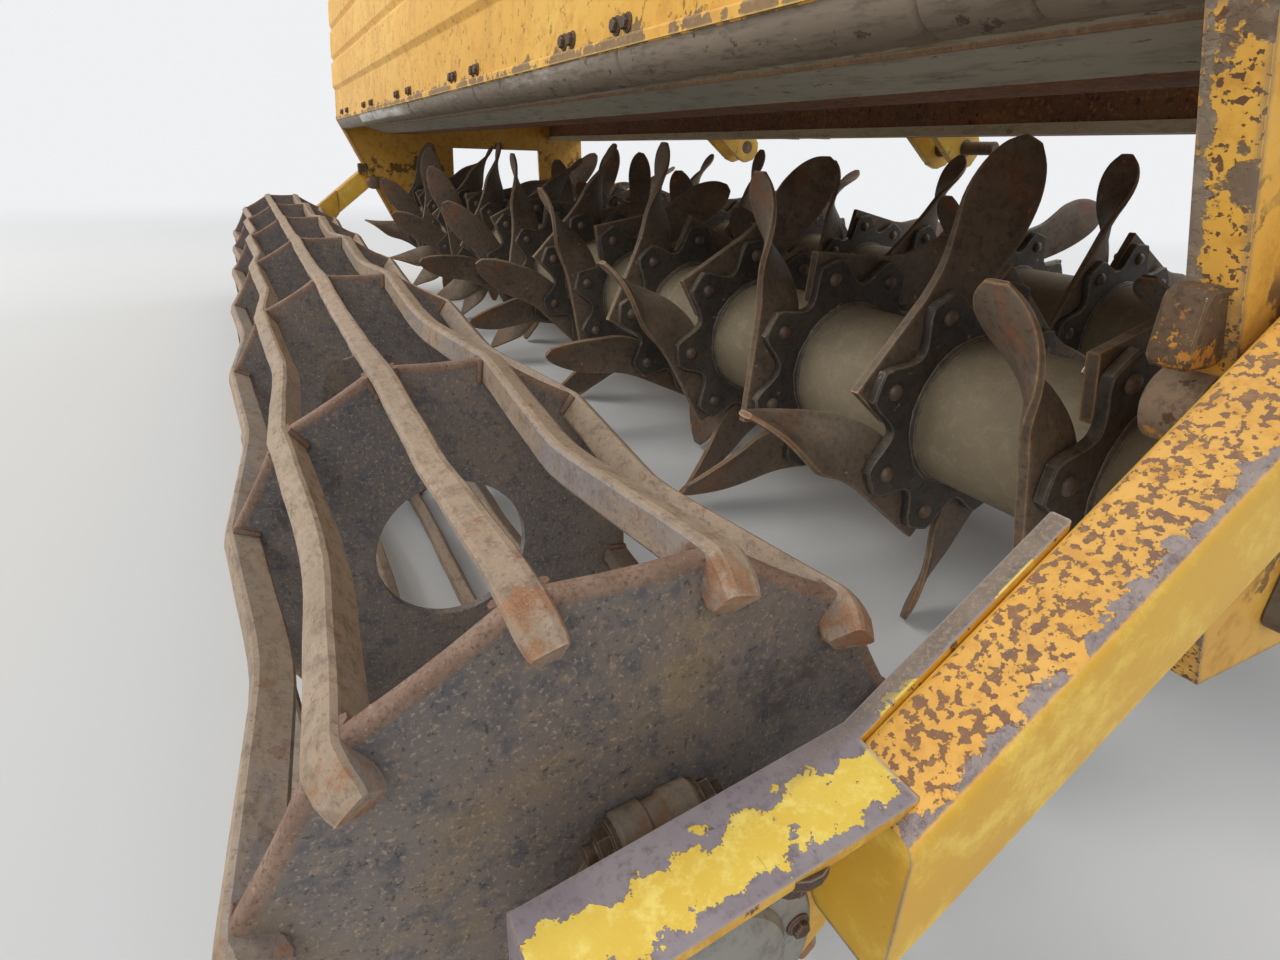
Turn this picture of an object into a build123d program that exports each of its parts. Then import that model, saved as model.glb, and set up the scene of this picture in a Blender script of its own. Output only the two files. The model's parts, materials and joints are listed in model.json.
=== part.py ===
from build123d import *
from math import asin, atan2, cos, degrees, hypot, pi, radians, sin
import os

os.makedirs("parts", exist_ok=True)

# A mounted tine cultivator: two tined rotors one behind the other, driven by the
# ground and linked by a chain, under a hood, with a cage roller on two arms behind.
# Millimetres. X is the machine's width with +X its right side, +Y is forward,
# and the floor that it stands on is Z = 0.

# Rotors
rotor_spacing = 600
tube_radius = 84
tube_wall = 8
tube_end_gap = 12
end_disc = 30
stub_radius = 25
star_count = 15
star_pitch = 203
star_plate = 12
bore_sides = 8
rear_star_phase = 33
front_star_phase = 10
star_helix = 10
bolt_radius = 125
lobe_count = 8
lobe_radius = 147
lobe_flank_angle = 8
valley_radius = 113

# One tine: a flat shank across two lobes, then a twisted blade
tine_thickness = 12
shank_width = 62
shank_overhang = 26
tine_stations = (
    # past the bolt, swept back, width, thickness, share of the twist
    (15, 1, 64, 12, 0),
    (110, 27, 80, 11, 0.6),
    (184, 47, 28, 8, 1),
)
tine_hands = (
    # twist in degrees, sideways drift of the tip away from the plate
    (90, 20),
    (-42, -8),
)

# Bearings of the rotors
bearing_flange = 124
bearing_flange_depth = 16
bearing_radius = 46
bearing_length = 40
shaft_hole_gap = 12

# Cage roller
roller_behind = 569
roller_radius = 195
roller_bars = 12
bar_width = 24
bar_inner_width = 14
bar_depth = 32
bar_dent = 18
bar_overhang = 27
bay_near = 380
bay_other = 526
bay_count = 6
roller_plate = 10
plate_inset = 6
hole_sides = 8
roller_plate_hole = 70
roller_stub_radius = 24
roller_collar_radius = 48
roller_collar = 22

# Hood, beams and end plates
plate_gap = 44
end_plate = 16
wall = 8
panel = 5
hood_base = 645
hood_top = 1045
hood_rear = 330
hood_lean = 31
hood_past_rotor = 90
hood_shelf = 190
rib_count = 4
rib_rise = 9
rib_slope = 12
beam_base = 605
front_beam_depth = 150
front_beam_height = 150
rear_beam_back = 150
rear_beam_depth = 100
rear_beam_height = 110
lip_radius = 30
leg_drop = 95
leg_foot = 100
leg_heel = 118
leg_splay = 12
gap_top = 560
edge_flange = 12
edge_flange_thickness = 10
stop_block = 34
stop_block_drop = 156
stop_boss_radius = 23
stop_boss_drop = 222

# Roller arms and what carries the roller
arm_gap = 10
arm_width = 50
arm_height = 70
arm_wall = 6
arm_cut = 73
arm_past_pivot = 52
pivot_forward = 80
pivot_height = 686
pivot_radius = 20
pivot_boss_radius = 44
pivot_cap_radius = 32
carrier_plate = 12
carrier_low = 82
carrier_front = 205
carrier_back = 74
rail_rise = 80
rail_slope = 10.8
rail_thickness = 6
rail_width = 38
rail_drop = 46
housing_radius = 84
housing_depth = 13
housing_boss_radius = 46
housing_boss = 15
hub_cap_radius = 70
hub_cap = 16

# Chain case on the left end
case_width = 40
case_rear_radius = 78
case_front_radius = 128
case_spacer_radius = 14

# Headstock
link_span = 870
link_pin_radius = 14
link_shank_radius = 18
link_pin_length = 80
link_pin_height = 586
link_pin_forward = 100
link_lug_radius = 45
link_plate = 16
link_gap = 56
mast_gap = 110
mast_plate = 20
mast_height = 650
mast_foot = 44
mast_head = 90
mast_pin_forward = 50
mast_pin_radius = 12.5
brace_thickness = 12
brace_depth = 42

tube_sides = 24
round_sides = 16
small_sides = 10
fit = 0.05
seat = 0.3
past = 1


def box(x0, x1, y0, y1, z0, z1):
    size = (x1 - x0, y1 - y0, z1 - z0)
    return Pos((x0 + x1) / 2, (y0 + y1) / 2, (z0 + z1) / 2) * Box(*size)


def rod(radius, xa, xb, y, z):
    return Pos((xa + xb) / 2, y, z) * Rot(0, 90, 0) * Cylinder(radius, abs(xb - xa))


def profile_along_x(points, xa, xb):
    """Pushes an outline of (y, z) points from one x to the other."""
    x0, x1 = min(xa, xb), max(xa, xb)
    outline = Polyline(*[(x0, y, z) for y, z in points], close=True)
    return extrude(make_face(outline), amount=x1 - x0, dir=(1, 0, 0))


def polygon_points(count, reach, y, z):
    """Corners of a regular polygon of count sides, reach away from (y, z)."""
    turns = [2 * pi * (k + 0.5) / count for k in range(count)]
    return [(y + reach * cos(t), z + reach * sin(t)) for t in turns]


def disc(radius, xa, xb, y, z, count=round_sides):
    """A round part that doesn't turn in anything, with its corners at the radius."""
    return profile_along_x(polygon_points(count, radius, y, z), xa, xb)


def opening(radius, xa, xb, y, z, count=round_sides):
    """A many-sided hole that a shaft of the radius just passes through."""
    a, b = min(xa, xb) - past, max(xa, xb) + past
    return profile_along_x(polygon_points(count, (radius + fit) / cos(pi / count), y, z), a, b)


def skin(rings):
    """Closes a solid over rings of corner points that follow one another.

    Opposite sides are folded the same way, so that a twisted bar keeps its thickness.
    """
    faces = [Face(Wire.make_polygon(rings[0][::-1])), Face(Wire.make_polygon(rings[-1]))]
    for first, second in zip(rings, rings[1:]):
        for i in range(len(first)):
            j = (i + 1) % len(first)
            if i < len(first) // 2:
                halves = ([first[i], first[j], second[j]], [first[i], second[j], second[i]])
            else:
                halves = ([first[i], first[j], second[i]], [first[j], second[j], second[i]])
            for half in halves:
                faces.append(Face(Wire.make_polygon(half)))
    return Solid(Shell(faces))


def save(name, *shapes):
    pieces = []
    for shape in shapes:
        pieces += shape.solids()
    whole = pieces[0] if len(pieces) == 1 else Compound(children=pieces)
    export_step(whole, f"parts/{name}.step")


# One star: a scalloped plate with its tines behind it, of two hands by turns

def tine_rings(bolt_angle, hand):
    """Corner rings of the tine whose leading bolt is at bolt_angle."""
    lobe = 360 / lobe_count
    full_twist, drift = tine_hands[hand]
    bolt = Vector(0, bolt_radius * cos(radians(bolt_angle)), bolt_radius * sin(radians(bolt_angle)))
    chord = 2 * bolt_radius * sin(radians(lobe / 2))
    along = radians(bolt_angle + lobe / 2 - 90)
    run = Vector(0, cos(along), sin(along))
    back = Vector(0, -sin(along), cos(along))
    across = Vector(1, 0, 0)
    root = ((-chord - shank_overhang, 0, shank_width, tine_thickness, 0),)
    rings = []
    for reach, sweep, width, thickness, share in root + tine_stations:
        centre = bolt + run * reach + back * sweep
        centre = centre - across * (tine_thickness / 2 + drift * share)
        turn = radians(full_twist * share)
        wide = back * cos(turn) + across * sin(turn)
        thick = across * cos(turn) - back * sin(turn)
        corners = ((-1, -1), (1, -1), (1, 1), (-1, 1))
        rings.append([centre + wide * (a * width / 2) + thick * (b * thickness / 2) for a, b in corners])
    return rings


tine_turns = [k * 360 / (lobe_count // 2) for k in range(lobe_count // 2)]


def star(phase):
    lobe = 360 / lobe_count
    outline = []
    for k in range(lobe_count):
        for turn, reach in (
            (-lobe_flank_angle, lobe_radius), (lobe_flank_angle, lobe_radius), (lobe / 2, valley_radius),
        ):
            angle = radians(phase + k * lobe + turn)
            outline.append((reach * cos(angle), reach * sin(angle)))
    bore = opening(tube_radius, 0, star_plate, 0, 0, bore_sides)
    whole = profile_along_x(outline, 0, star_plate) - bore
    for k, turn in enumerate(tine_turns):
        whole = whole + skin(tine_rings(phase + turn, k % 2))
    return whole


def star_phase(first, i):
    """Each star is turned on by the helix, and every second one by a lobe too."""
    return first + star_helix * i + (360 / lobe_count) * (i % 2)


def tips(first):
    """All corner points of one rotor's tines, about its axis."""
    points = []
    for i in range(star_count):
        for k, turn in enumerate(tine_turns):
            for ring in tine_rings(star_phase(first, i) + turn, k % 2):
                points += ring
    return points


# Places that follow from the sizes
star_x = [(i - (star_count - 1) / 2) * star_pitch for i in range(star_count)]
front_tips = tips(front_star_phase)
rotor_z = -min(point.Z for point in front_tips + tips(rear_star_phase))
roller_flat = roller_radius * cos(pi / roller_bars) + bar_width / 2 * sin(pi / roller_bars)
roller_z = roller_flat
hood_front = rotor_spacing + hood_past_rotor
link_front = hood_front + link_pin_forward + link_lug_radius
tine_front = rotor_spacing + max(point.Y for point in front_tips)
rear_y = (roller_behind + roller_flat - max(link_front, tine_front)) / 2
front_y = rear_y + rotor_spacing
roller_y = rear_y - roller_behind
roller_end = (bay_near + (bay_count - 1) * bay_other) / 2
plate_x = roller_end + plate_gap
outer_x = plate_x + end_plate
bearing_x = outer_x + bearing_length
half_width = bearing_x + seat + case_width
arm_x0 = outer_x + arm_gap
arm_x1 = arm_x0 + arm_width
pivot_y = rear_y + pivot_forward
pivot_z = pivot_height
front_face = rear_y + hood_front
rear_face = rear_y - hood_rear
beam_top = beam_base + front_beam_height
leg_base = rotor_z - leg_drop
sides = (("right", 1), ("left", -1))


# Rotors

def rotor(name, y, first):
    half = plate_x - tube_end_gap
    bore = opening(tube_radius - tube_wall, -half, half, y, rotor_z, tube_sides)
    save(f"{name}_tube", disc(tube_radius, -half, half, y, rotor_z, tube_sides) - bore)
    save(f"{name}_stars", *[Pos(x, y, rotor_z) * star(star_phase(first, i)) for i, x in enumerate(star_x)])
    ends = []
    for _, way in sides:
        plug = disc(tube_radius - tube_wall, way * (half - end_disc), way * half, y, rotor_z)
        ends.append(plug + disc(stub_radius, way * half, way * bearing_x, y, rotor_z, small_sides))
    save(f"{name}_stub_shafts", *ends)


rotor("rear_rotor", rear_y, rear_star_phase)
rotor("front_rotor", front_y, front_star_phase)


# Cage roller: many-sided plates that carry heavy bars, which are dented between them
plate_places = [roller_end, roller_end - bay_near]
plate_places += [roller_end - bay_near - bay_other * (i + 1) for i in range(bay_count - 1)]


def bar_rings(angle):
    """Corner rings of one bar, pressed in at the middle of each bay."""
    radial = Vector(0, cos(angle), sin(angle))
    tangent = Vector(0, -sin(angle), cos(angle))
    places = [(plate_places[0] + bar_overhang, 0)]
    for near, far in zip(plate_places, plate_places[1:]):
        places += [((near + far) / 2, bar_dent), (far, 0)]
    places[-1] = (plate_places[-1] - bar_overhang, 0)
    outer, inner = bar_width / 2, bar_inner_width / 2
    shape = ((0, -outer), (0, outer), (-bar_depth, inner), (-bar_depth, -inner))
    rings = []
    for x, dent in places:
        base = Vector(x, roller_y, roller_z) + radial * (roller_radius - dent)
        rings.append([base + radial * r + tangent * t for r, t in shape])
    return rings


bar_angles = [2 * pi * (k + 0.5) / roller_bars for k in range(roller_bars)]
plate_reach = roller_radius - plate_inset
plate_outline = [(roller_y + plate_reach * cos(a), roller_z + plate_reach * sin(a)) for a in bar_angles]
cage = Part()
for i, x in enumerate(plate_places):
    faces = (x - roller_plate / 2, x + roller_plate / 2)
    if i in (0, bay_count):
        hole = opening(roller_stub_radius, *faces, roller_y, roller_z, small_sides)
    else:
        hole = opening(roller_plate_hole, *faces, roller_y, roller_z, hole_sides)
    cage = cage + (profile_along_x(plate_outline, *faces) - hole)
for angle in bar_angles:
    cage = cage + skin(bar_rings(angle))
save("roller_cage", cage)

stubs = []
for _, way in sides:
    face = way * (roller_end - roller_plate / 2)
    inner = face - way * roller_collar
    stub_end = way * (arm_x0 - carrier_plate - seat)
    stub = disc(roller_stub_radius, inner, stub_end, roller_y, roller_z, small_sides)
    stubs.append(stub + disc(roller_collar_radius, inner, face, roller_y, roller_z, small_sides))
save("roller_stub_shafts", *stubs)


# Frame

def box_beam(y0, y1, z0, z1):
    bore = box(-plate_x - past, plate_x + past, y0 + wall, y1 - wall, z0 + wall, z1 - wall)
    return box(-plate_x, plate_x, y0, y1, z0, z1) - bore


save("front_beam", box_beam(front_face - front_beam_depth, front_face, beam_base, beam_top))
rear_beam_y0 = rear_y - rear_beam_back
rear_beam_y1 = rear_beam_y0 + rear_beam_depth
save("rear_beam", box_beam(rear_beam_y0, rear_beam_y1, beam_base, beam_base + rear_beam_height))


def panel_points():
    """The rear panel's pressed section, from its foot to its top."""
    outer = []
    rise_of_one = (hood_top - hood_base) / rib_count
    for i in range(rib_count):
        z0 = hood_base + rise_of_one * i
        rise = rib_rise if i else 0
        for z, out in ((z0, 0), (z0 + rib_slope, rise), (z0 + rise_of_one - rib_slope, rise)):
            lean = hood_lean * (z - hood_base) / (hood_top - hood_base)
            outer.append((rear_face + lean - out, z))
    outer.append((rear_face + hood_lean, hood_top))
    inner = [(y + panel, z) for y, z in outer]
    return outer + inner[::-1]


save("rear_panel", profile_along_x(panel_points(), -plate_x, plate_x))

panel_top_y = rear_face + hood_lean
shelf_y = panel_top_y + hood_shelf
save("top_panel", profile_along_x([
    (panel_top_y + panel, hood_top - panel), (shelf_y, hood_top - panel), (front_face, beam_top),
    (front_face, beam_top + panel), (shelf_y, hood_top), (panel_top_y + panel, hood_top),
], -plate_x, plate_x))

lip_y = rear_face + lip_radius
lip = rod(lip_radius, -plate_x, plate_x, lip_y, hood_base) & box(
    -plate_x, plate_x, lip_y - lip_radius, lip_y + lip_radius, hood_base - lip_radius, hood_base)
save("rear_lip", lip)

strip_y = lip_y + lip_radius
save("under_strip", profile_along_x([
    (strip_y, hood_base - wall), (rear_beam_y0, beam_base),
    (rear_beam_y0, beam_base + wall), (strip_y, hood_base),
], -plate_x, plate_x))


def rear_edge_y(z):
    """Where the slanting rear edge of an end plate lies at the height z."""
    share = (hood_base - z) / (hood_base - leg_base)
    return rear_face + (hood_rear - leg_heel) * share


def end_plate_solid(way):
    outline = [
        (rear_face, hood_base), (panel_top_y, hood_top), (shelf_y, hood_top), (front_face, beam_top + panel),
        (front_face, beam_base), (front_y + leg_foot, leg_base), (front_y - leg_foot, leg_base),
        (front_y - leg_foot - leg_splay, gap_top), (rear_y + leg_foot + leg_splay, gap_top),
        (rear_y + leg_foot, leg_base), (rear_y - leg_heel, leg_base),
    ]
    whole = profile_along_x(outline, way * plate_x, way * outer_x)
    flange_top = hood_base - lip_radius - seat
    flange = [
        (rear_edge_y(flange_top), flange_top), (rear_y - leg_heel, leg_base),
        (rear_y - leg_heel + edge_flange_thickness, leg_base),
        (rear_edge_y(flange_top) + edge_flange_thickness, flange_top),
    ]
    inner_x = way * (plate_x - edge_flange)
    whole = whole + profile_along_x(flange, inner_x, way * plate_x)
    block_z = hood_base - stop_block_drop
    block_y = rear_edge_y(block_z) - stop_block / 2
    a, b = sorted((inner_x, way * (plate_x + end_plate / 2)))
    whole = whole + box(a, b, block_y, block_y + stop_block, block_z - stop_block, block_z)
    boss_z = hood_base - stop_boss_drop
    boss_x = inner_x - way * edge_flange / 2
    whole = whole + disc(stop_boss_radius, boss_x, way * outer_x, rear_edge_y(boss_z), boss_z, small_sides)
    for y in (rear_y, front_y):
        whole = whole - opening(stub_radius + shaft_hole_gap, inner_x, way * outer_x, y, rotor_z, small_sides)
    return whole


for name, way in sides:
    save(f"{name}_end_plate", end_plate_solid(way))
    housings = []
    for y in (rear_y, front_y):
        half = bearing_flange / 2
        a, b = sorted((way * outer_x, way * (outer_x + bearing_flange_depth)))
        flange = box(a, b, y - half, y + half, rotor_z - half, rotor_z + half)
        whole = flange + disc(bearing_radius, way * outer_x, way * bearing_x, y, rotor_z)
        housings.append(whole - opening(stub_radius, way * outer_x, way * bearing_x, y, rotor_z, small_sides))
    save(f"{name}_rotor_bearings", *housings)

# Chain case over the left ends of both rotors, larger over the front rotor's chain wheel
case_x1 = -bearing_x - seat
tilt = asin((case_front_radius - case_rear_radius) / rotor_spacing)
case = disc(case_rear_radius, -half_width, case_x1, rear_y, rotor_z, tube_sides)
case = case + disc(case_front_radius, -half_width, case_x1, front_y, rotor_z, tube_sides)
case = case + profile_along_x([
    (rear_y - case_rear_radius * sin(tilt), rotor_z + case_rear_radius * cos(tilt)),
    (front_y - case_front_radius * sin(tilt), rotor_z + case_front_radius * cos(tilt)),
    (front_y - case_front_radius * sin(tilt), rotor_z - case_front_radius * cos(tilt)),
    (rear_y - case_rear_radius * sin(tilt), rotor_z - case_rear_radius * cos(tilt)),
], -half_width, case_x1)
save("chain_case", case)
spacers = []
for y, reach in ((rear_y, case_rear_radius), (front_y, case_front_radius)):
    flange_top = rotor_z + bearing_flange / 2 + seat
    z = rotor_z + (bearing_flange / 2 + reach) / 2 + seat
    spacer = disc(case_spacer_radius, case_x1, -outer_x, y, z, small_sides)
    spacers.append(spacer & box(case_x1, -outer_x, y - reach, y + reach, flange_top, z + reach))
save("chain_case_mounts", *spacers)


# Roller arms, hinged on the end plates
slope = degrees(atan2(pivot_z - roller_z, pivot_y - roller_y))
arm_run = hypot(pivot_y - roller_y, pivot_z - roller_z)


def along_arm(xa, xb, start, end, low, high):
    """A box set along the line from the roller's axis to the arm's hinge."""
    x0, x1 = min(xa, xb), max(xa, xb)
    return Pos(0, roller_y, roller_z) * Rot(slope, 0, 0) * box(x0, x1, start, end, low, high)


def behind(y, xa, xb):
    """The space behind y, to cut an arm off square to the floor."""
    x0, x1 = min(xa, xb), max(xa, xb)
    return box(x0 - past, x1 + past, y - arm_run, y, roller_z - arm_run, roller_z + arm_run)


def arm(way):
    xa, xb = way * arm_x0, way * arm_x1
    high = arm_height / 2
    end = arm_run + arm_past_pivot
    cut = roller_y + arm_cut
    tube = along_arm(xa, xb, 0, end, -high, high) - behind(cut, xa, xb)
    inner_x = (xa + way * arm_wall, xb - way * arm_wall)
    inner = along_arm(*inner_x, 0, end - arm_wall, arm_wall - high, high - arm_wall)
    inner = inner - behind(cut + arm_wall, xa, xb)
    sleeve = disc(high, xa, xb, pivot_y, pivot_z, small_sides)
    whole = tube - inner + sleeve
    return whole - opening(pivot_radius, xa, xb, pivot_y, pivot_z, small_sides)


def carrier(way):
    """The plate that carries one end of the roller, with the rail along its top."""
    xa, xb = way * (arm_x0 - carrier_plate), way * arm_x0
    lean = radians(rail_slope)
    under = rail_thickness / cos(lean)

    def rail_z(y):
        return rail_rise + (y + carrier_back) * sin(lean) / cos(lean)

    tan_arm = sin(radians(slope)) / cos(radians(slope))
    top = arm_height / 2 / cos(radians(slope))
    climb = tan_arm - sin(lean) / cos(lean)
    meet_top = (rail_z(0) - top) / climb
    meet_under = (rail_z(0) - top - under) / climb
    outline = [
        (-carrier_back, rail_z(-carrier_back) - under), (-carrier_back, -carrier_low / 2),
        (-carrier_back / 2, -carrier_low), (carrier_back / 2, -carrier_low),
        (carrier_front, carrier_front * tan_arm - top), (carrier_front, carrier_front * tan_arm + top),
        (meet_under, rail_z(meet_under) - under),
    ]
    plate = profile_along_x([(roller_y + y, roller_z + z) for y, z in outline], xa, xb)
    rail = [
        (-carrier_back, rail_z(-carrier_back)), (-carrier_back - rail_thickness, rail_z(-carrier_back)),
        (-carrier_back - rail_thickness, rail_z(-carrier_back) - rail_drop),
        (-carrier_back, rail_z(-carrier_back) - rail_drop),
        (-carrier_back, rail_z(-carrier_back) - under), (meet_under, rail_z(meet_under) - under),
        (meet_top, rail_z(meet_top)),
    ]
    strip = profile_along_x([(roller_y + y, roller_z + z) for y, z in rail], xa, way * (arm_x0 + rail_width))
    return plate + strip


for name, way in sides:
    save(f"{name}_roller_arm", arm(way))
    save(f"{name}_roller_carrier", carrier(way))
    face = way * (arm_x0 - carrier_plate)
    back = face - way * housing_depth
    housing = disc(housing_radius, back, face, roller_y, roller_z)
    boss_end = back - way * housing_boss
    housing = housing + disc(housing_boss_radius, boss_end, face, roller_y, roller_z)
    housing = housing - opening(roller_stub_radius, boss_end, face, roller_y, roller_z, small_sides)
    cap = disc(hub_cap_radius, way * arm_x0, way * (arm_x0 + hub_cap), roller_y, roller_z)
    save(f"{name}_roller_bearing", housing, cap)
    boss = disc(pivot_boss_radius, way * outer_x, way * (arm_x0 - seat), pivot_y, pivot_z, small_sides)
    pin = disc(pivot_radius, way * outer_x, way * half_width, pivot_y, pivot_z, small_sides)
    cap = disc(pivot_cap_radius, way * (arm_x1 + seat), way * half_width, pivot_y, pivot_z, small_sides)
    save(f"{name}_arm_pivot", boss + pin + cap)


# Headstock
mast_top_z = link_pin_height + mast_height
mast_pin_y = front_face + mast_pin_forward
masts = []
braces = []
for _, way in sides:
    inner = way * mast_gap / 2
    outer = inner + way * mast_plate
    plate = profile_along_x([
        (front_face, beam_base), (front_face + mast_foot, beam_base),
        (front_face + mast_head, mast_top_z - mast_foot),
        (front_face + mast_head, mast_top_z + mast_foot), (front_face, mast_top_z + mast_foot),
    ], inner, outer)
    bore_x = (inner - way * past, outer + way * past)
    masts.append(plate - rod(mast_pin_radius + fit, *bore_x, mast_pin_y, mast_top_z))
    braces.append(profile_along_x([
        (front_face + mast_foot / 2, mast_top_z - brace_depth / 2),
        (front_face + mast_foot / 2, mast_top_z + brace_depth / 2),
        (panel_top_y + brace_depth, hood_top + brace_depth), (panel_top_y + brace_depth, hood_top),
    ], outer, outer + way * brace_thickness))
save("mast_plates", *masts)
save("mast_braces", *braces)

link_y = front_face + link_pin_forward
lug_corner = link_lug_radius * sin(pi / 4)
lugs = []
pins = []
for _, way in sides:
    middle = way * link_span / 2
    reach = link_gap / 2 + link_plate
    for face in (-1, 1):
        near = middle + face * link_gap / 2
        a, b = sorted((near, near + face * link_plate))
        lug = profile_along_x([
            (front_face, beam_base), (link_y - lug_corner, link_pin_height - lug_corner),
            (link_y, link_pin_height), (link_y + link_lug_radius, link_pin_height), (front_face, beam_top),
        ], a, b)
        lug = lug + disc(link_lug_radius, a, b, link_y, link_pin_height, small_sides)
        lugs.append(lug - opening(link_shank_radius, a, b, link_y, link_pin_height, small_sides))
    shoulder = middle + way * reach
    shank = disc(link_shank_radius, middle - way * reach, shoulder, link_y, link_pin_height, small_sides)
    pin_end = shoulder + way * link_pin_length
    pins.append(shank + rod(link_pin_radius, shoulder, pin_end, link_y, link_pin_height))
save("lower_link_plates", *lugs)
save("lower_link_pins", *pins)

places = {
    "rotor_z": rotor_z, "roller_z": roller_z, "rear_y": rear_y, "front_y": front_y, "roller_y": roller_y,
    "pivot_y": pivot_y, "pivot_z": pivot_z, "plate_x": plate_x, "outer_x": outer_x, "half_width": half_width,
    "link_y": link_y, "link_z": link_pin_height, "link_x": link_span / 2 + link_gap / 2 + link_plate,
    "mast_pin_y": mast_pin_y, "mast_top_z": mast_top_z, "slope": slope,
}
for key, value in places.items():
    print("place", key, round(value, 4))
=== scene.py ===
import bpy
import bmesh
import json
import math
from mathutils import Matrix, Vector


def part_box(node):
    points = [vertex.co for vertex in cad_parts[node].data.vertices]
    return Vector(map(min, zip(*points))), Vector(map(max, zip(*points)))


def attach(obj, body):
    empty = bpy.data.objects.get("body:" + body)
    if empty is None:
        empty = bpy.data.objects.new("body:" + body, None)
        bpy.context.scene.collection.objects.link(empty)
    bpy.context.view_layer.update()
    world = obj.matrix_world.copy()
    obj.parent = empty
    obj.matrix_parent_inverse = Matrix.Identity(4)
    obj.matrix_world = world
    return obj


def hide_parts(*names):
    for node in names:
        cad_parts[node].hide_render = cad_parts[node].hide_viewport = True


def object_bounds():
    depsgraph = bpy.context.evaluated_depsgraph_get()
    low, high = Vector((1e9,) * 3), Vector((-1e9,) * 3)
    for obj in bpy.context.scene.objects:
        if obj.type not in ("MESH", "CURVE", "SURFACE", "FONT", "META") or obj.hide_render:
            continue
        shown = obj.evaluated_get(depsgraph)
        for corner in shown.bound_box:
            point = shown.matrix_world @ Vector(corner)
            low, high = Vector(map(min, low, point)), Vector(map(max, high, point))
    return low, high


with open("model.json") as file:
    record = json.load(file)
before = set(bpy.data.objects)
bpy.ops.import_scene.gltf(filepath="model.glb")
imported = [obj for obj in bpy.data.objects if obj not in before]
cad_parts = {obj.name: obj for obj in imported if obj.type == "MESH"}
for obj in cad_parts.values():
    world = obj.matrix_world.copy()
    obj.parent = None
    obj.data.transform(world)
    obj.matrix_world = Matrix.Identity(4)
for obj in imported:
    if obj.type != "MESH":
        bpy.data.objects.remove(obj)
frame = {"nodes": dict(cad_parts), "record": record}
cadBox = [list(corner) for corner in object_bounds()]
scene = bpy.context.scene
scene.view_settings.view_transform = "Standard"
print("frame loaded,", len(frame["nodes"]), "nodes")

# Camera and studio

camera = {
    "fromMiddle": 1.753, "behindRearAxis": 0.6946, "height": 0.545,
    "right": (0.45423, 0.89043, 0.02855),
    "up": (-0.37598, 0.16255, 0.91226),
    "focalPixels": 719.2,
    "imageWidth": 1280,
    "sensor": 36.0,
}


def middleOf(node):
    low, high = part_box(node)
    return (low + high) / 2


lens = bpy.data.cameras.new("camera")
lens.sensor_width = camera["sensor"]
lens.lens = camera["focalPixels"] / camera["imageWidth"] * camera["sensor"]
lens.clip_start = 0.01
eye = bpy.data.objects.new("camera", lens)
right, up = Vector(camera["right"]).normalized(), Vector(camera["up"]).normalized()
back = right.cross(up).normalized()
up = back.cross(right)
rearAxis = middleOf("rear_rotor_tube")
eyePlace = (camera["fromMiddle"], rearAxis.y - camera["behindRearAxis"], camera["height"])
eye.matrix_world = Matrix.Translation(eyePlace) @ Matrix((right, up, back)).transposed().to_4x4()
scene.collection.objects.link(eye)
scene.camera = eye

studio = {
    "skyColor": (0.88, 0.94, 1.0, 1),
    "skyStrength": 0.62,
    "backdropColor": (0.86, 0.875, 0.89, 1),
    "floorColor": (0.66, 0.65, 0.63, 1),
    "floorReach": 14.0, "floorHeight": -0.0002, "fadeFrom": 2.6, "fadeTo": 7.5,
    "lamps": (
        # place, aim, width, height, watts, colour
        ((-2.6, -5.2, 5.0), (0.2, 0.0, 0.4), 5.0, 4.0, 300, (1.0, 0.98, 0.95)),
        ((4.6, -3.0, 3.6), (0.6, 0.0, 0.4), 3.5, 3.0, 100, (0.92, 0.96, 1.0)),
        ((0.0, 5.0, 4.2), (0.0, 0.0, 0.6), 6.0, 3.0, 150, (1.0, 1.0, 1.0)),
    ),
}


def wire(tree, node, wires):
    # socket name or number -> a value, or another node's output
    for key, value in wires.items():
        if isinstance(value, bpy.types.NodeSocket):
            tree.links.new(value, node.inputs[key])
        else:
            node.inputs[key].default_value = value


def makeNode(tree, kind, wires=None, **choices):
    node = tree.nodes.new(kind)
    for key, value in choices.items():
        setattr(node, key, value)
    wire(tree, node, wires or {})
    return node


def mathNode(tree, operation, first, second=None, clamp=False):
    wires = {0: first} if second is None else {0: first, 1: second}
    return makeNode(tree, "ShaderNodeMath", wires, operation=operation, use_clamp=clamp).outputs[0]


def makeWorld():
    # the sky lights the object, and the camera sees a pale backdrop in its place
    world = bpy.data.worlds.new("sky")
    world.use_nodes = True
    tree = world.node_tree
    sky = tree.nodes["Background"]
    wire(tree, sky, {"Color": studio["skyColor"], "Strength": studio["skyStrength"]})
    backdrop = makeNode(tree, "ShaderNodeBackground",
                        {"Color": studio["backdropColor"], "Strength": 1.0})
    rays = makeNode(tree, "ShaderNodeLightPath").outputs
    seen = mathNode(tree, "MAXIMUM", rays["Is Camera Ray"], rays["Is Glossy Ray"])
    seen = mathNode(tree, "MAXIMUM", seen, rays["Is Transmission Ray"])
    mixed = makeNode(tree, "ShaderNodeMixShader", {0: seen, 1: sky.outputs[0], 2: backdrop.outputs[0]})
    wire(tree, tree.nodes["World Output"], {"Surface": mixed.outputs[0]})
    scene.world = world
    for number, (place, aim, width, height, watts, color) in enumerate(studio["lamps"]):
        data = bpy.data.lights.new(f"lamp{number}", "AREA")
        data.shape = "RECTANGLE"
        data.size, data.size_y, data.energy, data.color = width, height, watts, color
        lamp = bpy.data.objects.new(f"lamp{number}", data)
        aimed = (Vector(aim) - Vector(place)).to_track_quat("-Z", "Y")
        lamp.matrix_world = Matrix.Translation(place) @ aimed.to_matrix().to_4x4()
        scene.collection.objects.link(lamp)


makeWorld()
print("camera and lamps placed")

# Shared shader groups


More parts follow.
